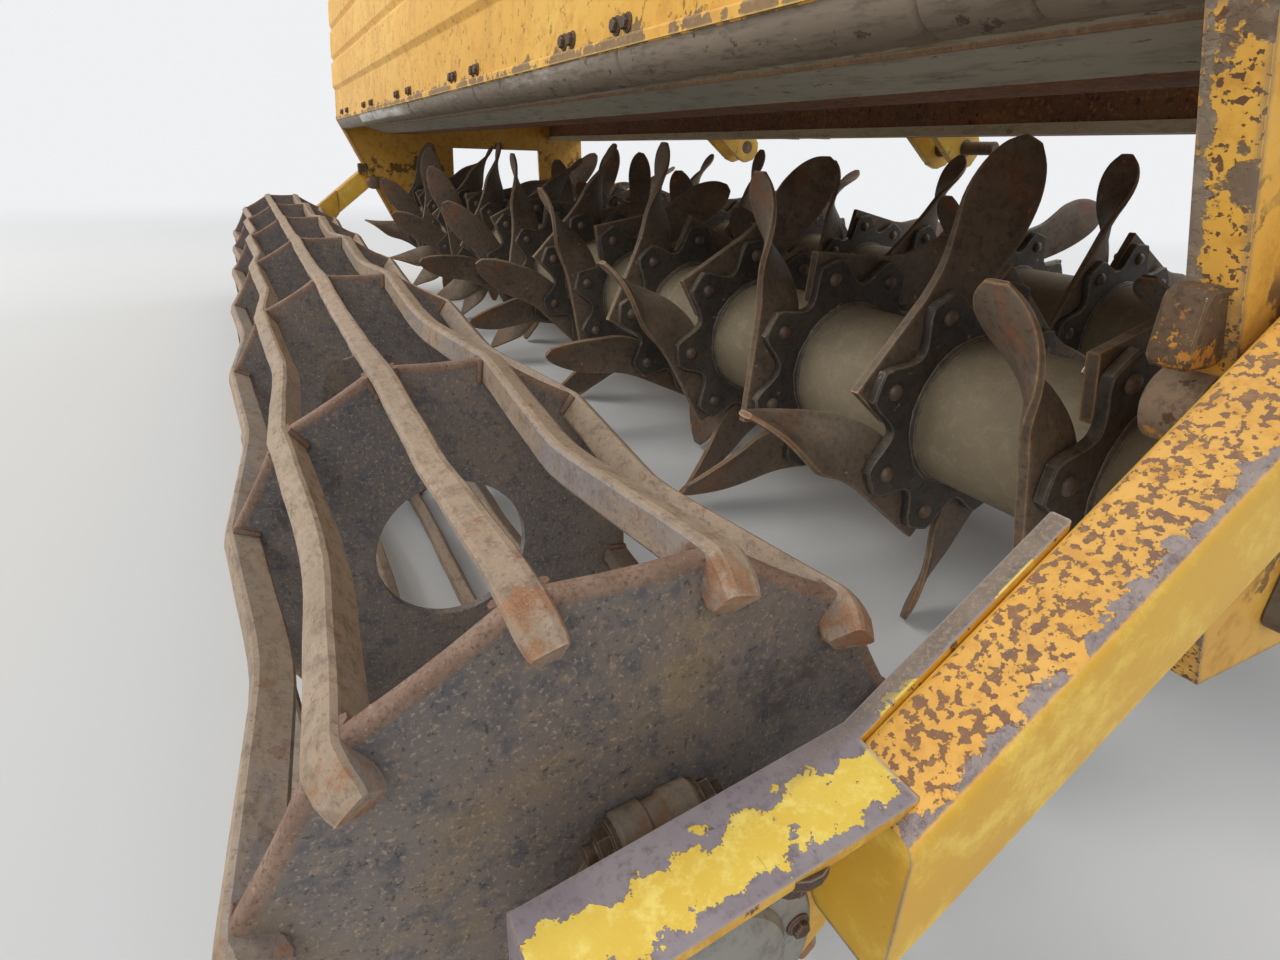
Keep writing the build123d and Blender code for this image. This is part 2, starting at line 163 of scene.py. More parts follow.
def makeGroup(name, inputs, outputs):
    tree = bpy.data.node_groups.new(name, "ShaderNodeTree")
    for socket, kind, default in inputs:
        made = tree.interface.new_socket(socket, in_out="INPUT", socket_type="NodeSocket" + kind)
        if default is not None:
            made.default_value = default
    for socket, kind in outputs:
        tree.interface.new_socket(socket, in_out="OUTPUT", socket_type="NodeSocket" + kind)
    return tree, tree.nodes.new("NodeGroupInput").outputs, tree.nodes.new("NodeGroupOutput")


def stepBetween(tree, value, low, high):
    return makeNode(tree, "ShaderNodeMapRange", {"Value": value, "From Min": low, "From Max": high},
                    interpolation_type="SMOOTHSTEP").outputs["Result"]


def noiseOf(tree, vector, scale, detail, roughness=0.5):
    return makeNode(tree, "ShaderNodeTexNoise", {
        "Vector": vector, "Scale": scale, "Detail": detail, "Roughness": roughness,
    }).outputs["Fac"]


def dotOf(tree, first, second):
    return makeNode(tree, "ShaderNodeVectorMath", {0: first, 1: second},
                    operation="DOT_PRODUCT").outputs["Value"]


def mixColor(tree, factor, first, second):
    return makeNode(tree, "ShaderNodeMix", {"Factor": factor, 6: first, 7: second},
                    data_type="RGBA").outputs[2]


def mixValue(tree, factor, first, second):
    return makeNode(tree, "ShaderNodeMix", {"Factor": factor, 2: first, 3: second}).outputs[0]


def speckleGroup():
    # blotches that cover about the given share of the surface
    tree, start, end = makeGroup("speckle", (
        ("Vector", "Vector", None), ("Scale", "Float", 20.0), ("Cover", "Float", 0.3),
        ("Softness", "Float", 0.05), ("Ragged", "Float", 0.7),
    ), (("Mask", "Float"),))
    noise = noiseOf(tree, start["Vector"], start["Scale"], detail=6.0, roughness=start["Ragged"])
    limit = makeNode(tree, "ShaderNodeMapRange", {
        "Value": start["Cover"], "From Min": 0.0, "From Max": 1.0, "To Min": 0.74, "To Max": 0.3,
    }).outputs["Result"]
    upper = mathNode(tree, "ADD", limit, start["Softness"])
    wire(tree, end, {"Mask": stepBetween(tree, noise, limit, upper)})
    return tree


def edgeWearAndHighlightGroup():
    # a ragged band along sharp edges: worn paint on most finishes, a painted highlight on the hood's
    # folds
    tree, start, end = makeGroup("edge wear and highlight", (
        ("Vector", "Vector", None), ("Reach", "Float", 0.006), ("Scale", "Float", 60.0),
        ("Amount", "Float", 0.5),
    ), (("Mask", "Float"),))
    rounded = makeNode(tree, "ShaderNodeBevel", {"Radius": start["Reach"]}, samples=6).outputs["Normal"]
    flat = makeNode(tree, "ShaderNodeNewGeometry").outputs["Normal"]
    bend = stepBetween(tree, dotOf(tree, rounded, flat), 0.995, 0.72)
    noise = noiseOf(tree, start["Vector"], start["Scale"], detail=4.0, roughness=0.65)
    ragged = mathNode(tree, "MULTIPLY", mathNode(tree, "SUBTRACT", noise, 0.5), 1.6)
    low = mathNode(tree, "SUBTRACT", 1.0, start["Amount"])
    high = mathNode(tree, "ADD", low, 0.12)
    wire(tree, end, {"Mask": stepBetween(tree, mathNode(tree, "ADD", bend, ragged), low, high)})
    return tree


def dustGroup():
    # settles on faces that look up, in uneven patches
    tree, start, end = makeGroup("dust", (
        ("Vector", "Vector", None), ("Amount", "Float", 0.5), ("Scale", "Float", 6.0),
    ), (("Mask", "Float"),))
    normal = makeNode(tree, "ShaderNodeTexCoord").outputs["Normal"]
    upward = makeNode(tree, "ShaderNodeSeparateXYZ", {0: normal}).outputs["Z"]
    lying = mathNode(tree, "MULTIPLY", stepBetween(tree, upward, -0.2, 0.9), 0.75)
    noise = noiseOf(tree, start["Vector"], start["Scale"], detail=7.0, roughness=0.72)
    patch = stepBetween(tree, noise, 0.34, 0.62)
    spread = mathNode(tree, "MULTIPLY", mathNode(tree, "ADD", lying, 0.25), patch)
    wire(tree, end, {"Mask": mathNode(tree, "MULTIPLY", spread, start["Amount"], clamp=True)})
    return tree


def toneGroup():
    # drifts slowly between three colours
    tree, start, end = makeGroup("tone", (
        ("Vector", "Vector", None), ("Scale", "Float", 3.0), ("First", "Color", None),
        ("Second", "Color", None), ("Third", "Color", None),
    ), (("Color", "Color"), ("Height", "Float")))
    broad = noiseOf(tree, start["Vector"], start["Scale"], detail=5.0, roughness=0.6)
    fineScale = mathNode(tree, "MULTIPLY", start["Scale"], 11.0)
    fine = noiseOf(tree, start["Vector"], fineScale, detail=6.0, roughness=0.7)
    color = mixColor(tree, stepBetween(tree, broad, 0.36, 0.64), start["First"], start["Second"])
    color = mixColor(tree, stepBetween(tree, fine, 0.46, 0.68), color, start["Third"])
    wire(tree, end, {"Color": color, "Height": fine})
    return tree


def faceGroup():
    # faces that look one way; Both takes the opposite ones too
    tree, start, end = makeGroup("face", (
        ("Toward", "Vector", (0, 0, 1)), ("Low", "Float", 0.6), ("High", "Float", 0.85),
        ("Both", "Float", 0.0), ("Vector", "Vector", None),
    ), (("Mask", "Float"),))
    likeness = dotOf(tree, makeNode(tree, "ShaderNodeTexCoord").outputs["Normal"], start["Toward"])
    reverse = mathNode(tree, "MULTIPLY", mathNode(tree, "MULTIPLY", likeness, -1.0), start["Both"])
    either = mathNode(tree, "MAXIMUM", likeness, reverse)
    wire(tree, end, {"Mask": stepBetween(tree, either, start["Low"], start["High"])})
    return tree


def bandGroup():
    # a ragged strip on both sides of the middle, Middle away from it along Along
    tree, start, end = makeGroup("band", (
        ("Vector", "Vector", None), ("Along", "Vector", (1, 0, 0)), ("Middle", "Float", 0.0),
        ("Half", "Float", 0.01), ("Ragged", "Float", 0.01), ("Scale", "Float", 50.0),
        ("Softness", "Float", 0.001),
    ), (("Mask", "Float"),))
    reach = mathNode(tree, "ABSOLUTE", dotOf(tree, start["Vector"], start["Along"]))
    off = mathNode(tree, "ABSOLUTE", mathNode(tree, "SUBTRACT", reach, start["Middle"]))
    noise = noiseOf(tree, start["Vector"], start["Scale"], detail=5.0, roughness=0.68)
    ragged = mathNode(tree, "MULTIPLY", start["Ragged"], 4.0)
    torn = mathNode(tree, "MULTIPLY", mathNode(tree, "SUBTRACT", noise, 0.5), ragged)
    inside = mathNode(tree, "ADD", mathNode(tree, "SUBTRACT", start["Half"], off), torn)
    wire(tree, end, {"Mask": stepBetween(tree, inside, 0.0, start["Softness"])})
    return tree


groups = {
    "speckle": speckleGroup(), "edge": edgeWearAndHighlightGroup(), "dust": dustGroup(), "tone": toneGroup(),
    "face": faceGroup(), "band": bandGroup(),
}
print("shader groups built")

# Materials

ownSockets = {
    # the sockets that each kind of mask takes first, in this order
    "speckle": ("Scale", "Cover", "Softness"), "edge": ("Reach", "Scale", "Amount"),
    "dust": ("Amount", "Scale"), "band": ("Middle", "Half", "Ragged", "Scale"),
    "face": ("Toward", "Low", "High"),
}
common = {"bump": 0.6, "depth": 0.001, "toneScale": 14.0, "roughSpread": (-0.08, 0.1), "specular": 0.4}


def useGroup(tree, name, wires):
    return makeNode(tree, "ShaderNodeGroup", wires, node_tree=groups[name]).outputs


def rgb(code):
    # a colour as it looks on a screen, made linear for the sockets
    parts = [int(code[k:k + 2], 16) / 255 for k in (0, 2, 4)]
    return tuple(p / 12.92 if p <= 0.04045 else ((p + 0.055) / 1.055) ** 2.4 for p in parts) + (1.0,)


def toneOf(tree, place, scale, codes):
    # two or three colours; of two, the second is also the third
    codes = codes.split()
    return useGroup(tree, "tone", {
        "Vector": place, "Scale": scale, "First": rgb(codes[0]), "Second": rgb(codes[1]),
        "Third": rgb(codes[-1]),
    })


def maskOf(tree, place, kind, values, more=None):
    # the mask of one group, or of an attribute of the mesh between a low and a high value
    more = more or {}
    if kind == "attribute":
        name, low, high = values
        read = makeNode(tree, "ShaderNodeAttribute", attribute_name=name).outputs["Fac"]
        return stepBetween(tree, read, low, high)
    if "shift" in more or "stretch" in more:
        place = makeNode(tree, "ShaderNodeMapping", {
            "Vector": place, "Location": more.get("shift", (0, 0, 0)),
            "Scale": more.get("stretch", (1, 1, 1)),
        }).outputs["Vector"]
    further = {key: value for key, value in more.items() if key[0].isupper()}
    return useGroup(tree, kind,
                    {**dict(zip(ownSockets[kind], values)), **further, "Vector": place})["Mask"]


def layeredMaterial(name, look):
    # a base finish with blotches, worn edges and dust laid over it one after another; on some looks a
    # layer is painted light: a painted highlight on the hood's edges and the lip's crown, a painted
    # reflection near the roller bars' ends
    material = bpy.data.materials.new(name)
    material.use_nodes = True
    tree = material.node_tree
    place = makeNode(tree, "ShaderNodeTexCoord").outputs["Object"]
    stretched = makeNode(tree, "ShaderNodeMapping", {
        "Vector": place, "Scale": look.get("stretch", (1, 1, 1)),
    }).outputs["Vector"]
    tone = toneOf(tree, stretched, look["scale"], look["colors"])
    color, height = tone["Color"], mathNode(tree, "MULTIPLY", tone["Height"], look["grain"])
    rough = mixValue(tree, tone["Height"], *(look["rough"] + off for off in common["roughSpread"]))
    metal = look.get("metal", 0.0)
    for kind, values, codes, layerRough, *more in look["layers"]:
        more = more[0] if more else {}
        mask = maskOf(tree, place, kind, values, more)
        for limit in more.get("on", ()):
            mask = mathNode(tree, "MULTIPLY", mask, maskOf(tree, place, *limit))
        if "strength" in more:
            mask = mathNode(tree, "MULTIPLY", mask, more["strength"])
        over = toneOf(tree, place, more.get("toneScale", common["toneScale"]), codes)
        color = mixColor(tree, mask, color, over["Color"])
        rough = mixValue(tree, mask, rough, layerRough)
        if "metal" in more or isinstance(metal, bpy.types.NodeSocket):
            metal = mixValue(tree, mask, metal, more.get("metal", 0.0))
        if "height" in more:
            height = mathNode(tree, "ADD", height, mathNode(tree, "MULTIPLY", mask, more["height"]))
    bump = makeNode(tree, "ShaderNodeBump", {
        "Height": height, "Distance": look.get("depth", common["depth"]), "Strength": common["bump"],
    }).outputs["Normal"]
    wire(tree, tree.nodes["Principled BSDF"], {
        "Base Color": color, "Roughness": rough, "Metallic": metal, "Normal": bump,
        "Specular IOR Level": common["specular"],
    })
    return material


# codes of colours that several looks share
brownRust = "6E4A32 5A3C2A 84603F"
darkRust = "4A3226 5E3D2A 362620"
barePurple = "887A78 968886 746664"
soil = "8F7A60 A08B70 776550"
armUp = (0, -0.606, 0.7954)
# masks that layers are kept to: kind, values, and what else the mask sets
armTop = ("face", (armUp, 0.75, 0.92))
postRear = ("face", ((0, -1, 0), 0.2, 0.5))
railTop = ("face", ((0, -0.187, 0.982), 0.7, 0.85))
lipCrown = ("face", ((0, -0.9, -0.436), 0.9, 0.985))
sideFaces = ("face", ((1, 0, 0), 0.5, 0.8), {"Both": 1.0})

looks = {
    # a layer: kind, its mask's values, colours, roughness, and what else it sets
    "chippedYellow": {
        "colors": "E2B23E D9A238 ECC452", "scale": 2.6, "rough": 0.48, "grain": 0.15, "depth": 0.0008,
        "layers": (
            ("speckle", (3.2, 0.3, 0.12), "C98F38 B97F34 D19A40", 0.6, {"strength": 0.6}),
            ("speckle", (60.0, 0.26, 0.02), brownRust, 0.8, {"height": -0.6}),
            ("speckle", (14.0, 0.18, 0.02), barePurple, 0.6,
             {"shift": (3.1, 1.7, 0.4), "height": -0.8}),
            ("edge", (0.009, 70.0, 0.6), "8A7A72 9B8A80 6E5A4E", 0.45, {"metal": 0.3, "height": -0.6}),
            ("dust", (0.4, 7.0), soil, 0.9),
        ),
    },
    "armYellow": {
        "colors": "E4B43C DAA634 EEC858", "scale": 3.0, "rough": 0.45, "grain": 0.12, "depth": 0.0008,
        "layers": (
            ("face", (armUp, 0.6, 0.9), "E0A546 EAB154 D2963C", 0.55, {"toneScale": 9.0}),
            ("speckle", (210.0, 0.5, 0.03), "8A6448 765242 9C7650", 0.8,
             {"Ragged": 0.55, "height": -0.7, "on": (armTop,)}),
            ("speckle", (48.0, 0.2, 0.02), "86726A 74605A 96827A", 0.6,
             {"shift": (4, 2, 1), "height": -0.9, "on": (armTop,)}),
            ("band", (1.622, 0.006, 0.012, 46.0), barePurple, 0.5, {"height": -0.9, "on": (armTop,)}),
            ("speckle", (24.0, 0.1, 0.02), "A06A38 8A5630", 0.75,
             {"shift": (0, 5, 3), "strength": 0.8}),
            ("edge", (0.005, 70.0, 0.42), "8F8078 A0908A 7E6C62", 0.45, {"metal": 0.3, "height": -0.5}),
            ("dust", (0.2, 7.0), soil, 0.9),
        ),
    },
    "strapYellow": {
        "colors": "8C8084 9A8F90 7A6E70", "scale": 14.0, "rough": 0.5, "grain": 0.35, "depth": 0.0009,
        "metal": 0.15,
        "layers": (
            ("face", ((1, 0, 0), 0.5, 0.8), "D8A53A C8902F E0B44C", 0.55, {"Both": 1.0}),
            ("band", (1.5905, 0.0125, 0.019, 46.0), "ECCB58 E2BC4A F2D872", 0.5,
             {"height": 0.9, "toneScale": 9.0, "on": (railTop,)}),
            ("speckle", (90.0, 0.17, 0.02), "7C6A52 6C5C4A 8C7A60", 0.6,
             {"height": -0.8, "on": (railTop,)}),
            ("face", (armUp, 0.93, 0.985), "847466 75665A 968672", 0.55, {"toneScale": 40.0}),
            ("speckle", (26.0, 0.25, 0.03), brownRust, 0.8, {"shift": (2, 2, 2), "on": (sideFaces,)}),
            ("edge", (0.004, 60.0, 0.5), "B8A48C 9C8C80 C8B69C", 0.45, {"metal": 0.3}),
        ),
    },
    "postYellow": {
        "colors": "DCA23C E6B04A CC9032", "scale": 4.0, "rough": 0.52, "grain": 0.3, "depth": 0.001,
        "layers": (
            ("speckle", (9.0, 0.35, 0.15), "BC8638 AC7832 C89444", 0.6, {"strength": 0.7}),
            ("speckle", (26.0, 0.12, 0.03), brownRust, 0.8, {"shift": (5, 1, 2), "height": -0.6}),
            ("speckle", (20.0, 0.46, 0.04), darkRust, 0.85,
             {"Ragged": 0.6, "shift": (2, 3, 1), "height": -0.6, "strength": 0.8,
              "on": (sideFaces, ("band", (0.40, 0.16, 0.16, 4.0),
                                 {"Along": (0, 0, 1), "Softness": 0.06}))}),
            ("speckle", (230.0, 0.42, 0.03), "6A4830 583A28 7E5A3C", 0.85,
             {"Ragged": 0.5, "height": -0.8, "on": (postRear,)}),
            ("speckle", (30.0, 0.38, 0.03), "75604A 665240 86705A", 0.75,
             {"Ragged": 0.6, "shift": (1, 6, 2), "height": -0.6, "on": (postRear,)}),
            ("band", (1.540, 0.0045, 0.007, 50.0), "84735F 746450 96846E", 0.65,
             {"height": -0.6, "on": (postRear,)}),
            ("edge", (0.012, 60.0, 0.6), "7A6A5C 6A5A4E 8C7B6A", 0.55, {"height": -0.6}),
            ("dust", (0.35, 7.0), soil, 0.9),
        ),
    },
    "hoodYellow": {
        "colors": "E0A639 E9B64C D29634", "scale": 2.2, "rough": 0.5, "grain": 0.15, "depth": 0.0008,
        "layers": (
            ("speckle", (3.5, 0.4, 0.2), "C68D36 B98030 D09840", 0.6,
             {"stretch": (1, 1, 0.5), "strength": 0.6}),
            ("speckle", (78.0, 0.33, 0.03), "96702F 845F32 A67E3A", 0.75,
             {"height": -0.3, "strength": 0.85}),
            ("speckle", (22.0, 0.14, 0.02), "7E6248 6C503C 90745A", 0.7,
             {"shift": (3, 0, 1), "height": -0.6}),
            ("speckle", (30.0, 0.16, 0.1), "A8702E 93602C", 0.75,
             {"stretch": (1, 1, 0.12), "shift": (0, 3, 0), "strength": 0.7}),
            ("band", (0.650, 0.006, 0.026, 18.0), "7C6248 6C5440 8E7454", 0.7,
             {"Along": (0, 0, 1), "height": -0.5, "strength": 0.9}),
            # painted highlight: a lighter yellow along the panel's folds and edges, where they catch
            # the light
            ("edge", (0.004, 40.0, 0.55), "F2CE66 E8C05A", 0.5, {"strength": 0.8}),
            ("dust", (0.35, 4.0), "A88F5C B89E6A", 0.9),
        ),
    },
    "rustedPaint": {
        "colors": "6E4630 7E5236 583828", "scale": 5.0, "rough": 0.8, "grain": 0.8, "depth": 0.0012,
        "layers": (
            ("speckle", (9.0, 0.3, 0.06), "8A6038 9A6C3E 7A5230", 0.8, {"stretch": (0.4, 1, 1)}),
            ("speckle", (150.0, 0.42, 0.05), "B07440 96602F", 0.85, {"shift": (1.0, 4.0, 2.0)}),
            ("speckle", (110.0, 0.34, 0.05), "3E2A20 34241C", 0.85),
            ("edge", (0.008, 40.0, 0.66), "A58E70 8E7A62 B8A284", 0.7),
            ("dust", (0.6, 9.0), soil, 0.92),
        ),
    },
    "brownLedge": {
        "colors": "948E80 A39C8C 847E70", "scale": 5.0, "rough": 0.7, "grain": 0.5,
        "stretch": (0.3, 1, 1),
        "layers": (
            ("band", (0.330, 0.034, 0.004, 30.0), "8E6C34 7A5A30 A0803E", 0.7, {"Along": (0, 1, 0)}),
            ("speckle", (90.0, 0.3, 0.05), "5A4634 4C3C30", 0.85,
             {"stretch": (0.4, 1, 1), "strength": 0.7}),
        ),
    },
    "paleEdge": {
        "colors": "C2B292 CFC0A2 AC9C7E", "scale": 8.0, "rough": 0.75, "grain": 0.4,
        "stretch": (0.3, 1, 1),
        "layers": (
            ("speckle", (40.0, 0.24, 0.05), "8E7654 9C8462", 0.85),
        ),
    },
    "rustyCasting": {
        "colors": "5A554F 6A6259 48423C", "scale": 9.0, "rough": 0.62, "grain": 0.8, "depth": 0.001,
        "layers": (
            ("speckle", (18.0, 0.4, 0.08), brownRust, 0.82),
            ("edge", (0.005, 80.0, 0.55), "9A8A7C 84766C B0A294", 0.42, {"metal": 0.6}),
            ("dust", (0.7, 11.0), soil, 0.92),
        ),
    },
    "greyHub": {
        "colors": "8B8781 979289 7A746C", "scale": 7.0, "rough": 0.5, "grain": 0.4, "depth": 0.0008,
        "metal": 0.2,
        "layers": (
            ("speckle", (20.0, 0.3, 0.1), "7A6A58 8A7862", 0.75),
            ("edge", (0.005, 60.0, 0.5), "6E5236 5A4630", 0.8),
            ("dust", (0.3, 11.0), soil, 0.92),
        ),
    },
    "wornSteel": {
        "colors": "5E5048 6E5E52 4C403A", "scale": 8.0, "rough": 0.5, "grain": 0.6, "metal": 0.4,
        "layers": (
            ("speckle", (22.0, 0.36, 0.06), brownRust, 0.8),
            ("edge", (0.003, 60.0, 0.55), "A89C90 94887E B6ABA0", 0.35, {"metal": 0.8}),
            ("dust", (0.5, 10.0), soil, 0.92),
        ),
    },
    "wornLipWithHighlight": {
        "colors": "756757 837463 625545", "scale": 12.0, "rough": 0.56, "grain": 0.5, "metal": 0.08,
        "stretch": (0.2, 1, 1), "depth": 0.0009,
        "layers": (
            ("speckle", (46.0, 0.36, 0.05), "4E4238 5C4C3E 40362E", 0.8, {"height": -0.4}),
            # polished bare steel along the lip's crown, made paler there as a painted highlight
            ("speckle", (7.0, 0.62, 0.12), "C4BCB0 B0A89C D2CCC4", 0.28,
             {"stretch": (0.16, 1, 1), "shift": (3, 0, 0), "metal": 0.6,
              "on": (lipCrown, ("band", (0.0, 0.93, 0.03, 20.0), {"Softness": 0.02}))}),
            ("speckle", (30.0, 0.22, 0.03), brownRust, 0.82,
             {"stretch": (0.5, 1, 1), "shift": (1, 2, 3)}),
            ("speckle", (120.0, 0.16, 0.03), "9C8A74 B09C84", 0.8),
        ),
    },
    "dustyTube": {
        "colors": "83755E 766953 8E8068", "scale": 5.0, "rough": 0.78, "grain": 0.35, "depth": 0.0008,
        "layers": (
            ("speckle", (5.0, 0.34, 0.14), "6E614F 625644 7A6D5A", 0.6),
            ("speckle", (60.0, 0.16, 0.05), "6A5138 7A5C3C", 0.85, {"strength": 0.8}),
            ("speckle", (260.0, 0.4, 0.12), "968C72 A29880", 0.85,
             {"shift": (0, 1, 4), "strength": 0.4}),
            ("dust", (0.6, 8.0), "92836A 9C8D74 82745E", 0.95),
        ),
    },
    "starPlate": {
        "colors": "3A332E 48403A 2C2825", "scale": 12.0, "rough": 0.62, "grain": 0.8, "depth": 0.001,
        "metal": 0.1,
        "layers": (
            ("speckle", (30.0, 0.34, 0.07), "5A4332 4A362A", 0.84),
            ("edge", (0.005, 70.0, 0.74), "94846F A6957F 7A6A58", 0.5, {"metal": 0.2}),
            ("dust", (0.45, 14.0), "8A7963 9A8970 6E604E", 0.95),
        ),
    },
    "tineSteel": {
        "colors": "5E4E40 6E5C4C 4C3E32", "scale": 11.0, "rough": 0.58, "grain": 0.6, "depth": 0.0009,
        "metal": 0.1,
        "layers": (
            ("speckle", (20.0, 0.4, 0.08), "4E4038 5C4A3E 443830", 0.7),
            ("speckle", (70.0, 0.3, 0.05), "86552F 7A4A2C", 0.85, {"shift": (2, 1, 1)}),
            ("attribute", ("tip", 0.45, 1.0), "8A5432 7A4526 9A6640", 0.8,
             {"strength": 0.75, "on": (("speckle", (18.0, 0.66, 0.2)),)}),
            ("edge", (0.005, 60.0, 0.76), "B48C5E A07848 C4A47C", 0.6, {"metal": 0.1}),
            ("dust", (0.4, 13.0), "9A8A75 AA9A84 82725E", 0.95),
        ),
    },
    "rollerBar": {
        "colors": "94806C A58F79 7C6856", "scale": 9.0, "rough": 0.66, "grain": 0.6, "depth": 0.0008,
        "stretch": (0.5, 1, 1),
        "layers": (
            ("speckle", (7.0, 0.4, 0.2), "9A7A52 8A6A44 AC8C62", 0.75,
             {"strength": 0.6, "shift": (1, 1, 0)}),
            ("speckle", (60.0, 0.4, 0.12), "86583E 784C36 946A4C", 0.85, {"strength": 0.8}),
            ("speckle", (22.0, 0.26, 0.08), "6C5240 5E4636", 0.85,
             {"shift": (7, 1, 3), "strength": 0.7}),
            ("attribute", ("flank", 0.3, 0.8), "807C80 8E8A8E 706A6C", 0.5,
             {"metal": 0.1, "strength": 0.75,
              "on": (("speckle", (12.0, 0.66, 0.25), {"stretch": (0.4, 1, 1)}),)}),
            ("speckle", (330.0, 0.44, 0.12), "6E5648 604A3E", 0.85, {"strength": 0.55, "height": -0.5}),
            ("speckle", (360.0, 0.4, 0.12), "C9B6A6 B8A496", 0.7,
             {"shift": (1, 0, 2), "strength": 0.5}),
            ("edge", (0.004, 50.0, 0.5), "BCA898 AA9686 CCBAAA", 0.45, {"metal": 0.2, "strength": 0.8}),
            ("band", (1.523, 0.018, 0.016, 60.0), "9A6C4C 845438 AC7E5A", 0.85,
             {"Softness": 0.006, "toneScale": 90.0, "strength": 0.85,
              "on": (("speckle", (30.0, 0.68, 0.12)),)}),
            # painted reflection: a bluish patch of sky colour on the bars' flanks near their ends
            ("band", (1.5225, 0.016, 0.02, 60.0), "9BA2B4 AEB6C4 8A8E9C", 0.34,
             {"Softness": 0.006, "metal": 0.5, "strength": 0.7,
              "on": (("speckle", (17.0, 0.3, 0.08)), ("attribute", ("flank", 0.3, 0.8)))}),
            ("dust", (0.3, 12.0), soil, 0.92),
        ),
    },
    "rollerPlate": {
        "colors": "6A625E 786C64 565458", "scale": 6.0, "rough": 0.6, "grain": 0.6, "metal": 0.05,
        "depth": 0.0009,
        "layers": (
            ("speckle", (5.0, 0.34, 0.16), "4E5864 444C58", 0.5, {"shift": (4, 1, 1), "strength": 0.8}),
            ("speckle", (6.0, 0.46, 0.2), "8E7A5C 7E6A50 A08A68", 0.82, {"strength": 0.85}),
            ("speckle", (110.0, 0.4, 0.14), "A48E74 8E765C", 0.86, {"strength": 0.65}),
            ("speckle", (300.0, 0.46, 0.12), "B8A48A A69076", 0.88,
             {"shift": (2, 2, 2), "strength": 0.65}),
            ("speckle", (240.0, 0.38, 0.1), "3E3836 322E2E", 0.7,
             {"shift": (0, 2, 5), "strength": 0.7, "height": -0.4}),
            ("speckle", (12.0, 0.34, 0.1), "3C3735 47403C", 0.6, {"shift": (6, 2, 1), "strength": 0.7}),
            ("attribute", ("rim", 0.35, 0.9), "7C6252 8E7462 694E40", 0.8,
             {"toneScale": 40.0, "height": 0.4}),
            ("speckle", (320.0, 0.34, 0.1), "B0907A C0A088", 0.8,
             {"shift": (3, 3, 3), "strength": 0.5}),
        ),
    },
    "weldBead": {
        "colors": "7E6250 6E5240 8E7260", "scale": 60.0, "rough": 0.8, "grain": 1.0, "depth": 0.0012,
        "layers": (
            ("speckle", (70.0, 0.35, 0.08), "7E6A5C 6A584C 947E70", 0.6, {"metal": 0.2}),
        ),
    },
    "rustyBoss": {
        "colors": "7C6650 8C745A 665240", "scale": 14.0, "rough": 0.78, "grain": 0.9, "depth": 0.0012,
        "layers": (
            ("speckle", (40.0, 0.35, 0.06), "C08A38 B07C34", 0.65),
            ("speckle", (80.0, 0.36, 0.05), "5C4330 4C3828", 0.85, {"shift": (2, 0, 0)}),
        ),
    },
    "rustyBlock": {
        "colors": "5A4532 6A523A 483728", "scale": 14.0, "rough": 0.8, "grain": 0.9, "depth": 0.0012,
        "layers": (
            ("speckle", (120.0, 0.36, 0.05), "9A6A34 845A30", 0.8),
            ("speckle", (160.0, 0.55, 0.04), "C08430 A87028", 0.7,
             {"shift": (1, 1, 0), "on": (("band", (0.446, 0.016, 0.02, 60.0), {"Along": (0, 0, 1)}),)}),
            ("edge", (0.006, 70.0, 0.5), "7E6C58 6C5C48", 0.7),
        ),
    },
    "rustyBolt": {
        "colors": "4E3E32 5C4838 3E3128", "scale": 40.0, "rough": 0.7, "grain": 0.8, "depth": 0.0006,
        "metal": 0.2,
        "layers": (
            ("speckle", (90.0, 0.35, 0.06), "8A5A34 74482C", 0.85),
            ("edge", (0.002, 120.0, 0.55), "94806A A8947C", 0.5, {"metal": 0.4}),
        ),
    },
}
finish = {name: layeredMaterial(name, look) for name, look in looks.items()}
print("materials built,", len(finish))

nodeFinish = {
    "chippedYellow": ("chain_case", "chain_case_mounts", "mast_plates", "mast_braces",
                      "lower_link_plates", "right_arm_pivot", "left_arm_pivot"),
    "hoodYellow": ("rear_panel", "top_panel"),
    "postYellow": ("right_end_plate", "left_end_plate"),
    "armYellow": ("right_roller_arm", "left_roller_arm"),
    "strapYellow": ("right_roller_carrier", "left_roller_carrier"),
    "rustedPaint": ("front_beam", "rear_beam"),
    "brownLedge": ("under_strip",),
    "wornLipWithHighlight": ("rear_lip",),
    "wornSteel": ("lower_link_pins", "rear_rotor_stub_shafts", "front_rotor_stub_shafts",
                  "roller_stub_shafts"),
    "rustyCasting": ("right_rotor_bearings", "left_rotor_bearings"),
    "greyHub": ("right_roller_bearing", "left_roller_bearing"),
    "dustyTube": ("rear_rotor_tube", "front_rotor_tube"),
    "tineSteel": ("rear_rotor_stars", "front_rotor_stars"),
    "rollerBar": ("roller_cage",),
}
for look, nodes in nodeFinish.items():
    for node in nodes:
        slots = frame["nodes"][node].data.materials
        slots.clear()
        slots.append(finish[look])

slotOf = {part["node"]: part["material_slot"] for part in frame["record"]["subparts"]}
bodies = frame["record"]["behaviour"]["bodies"]
bodyOf = {node: body for body, nodes in bodies.items() for node in nodes}

# Mesh helpers


def link(obj):
    scene.collection.objects.link(obj)
    return obj


def stand(piece, body, slot, *nodes):
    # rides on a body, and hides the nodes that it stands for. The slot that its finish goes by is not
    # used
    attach(piece, body)
    if nodes:
        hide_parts(*nodes)
    return piece


def meshObject(name, bm, material=None, sharp=35.0):
    bmesh.ops.recalc_face_normals(bm, faces=bm.faces)
    mesh = bpy.data.meshes.new(name)
    bm.to_mesh(mesh)
    bm.free()
    mesh.shade_smooth()
    mesh.set_sharp_from_angle(angle=math.radians(sharp))
    if material:
        mesh.materials.append(finish[material])
    return link(bpy.data.objects.new(name, mesh))


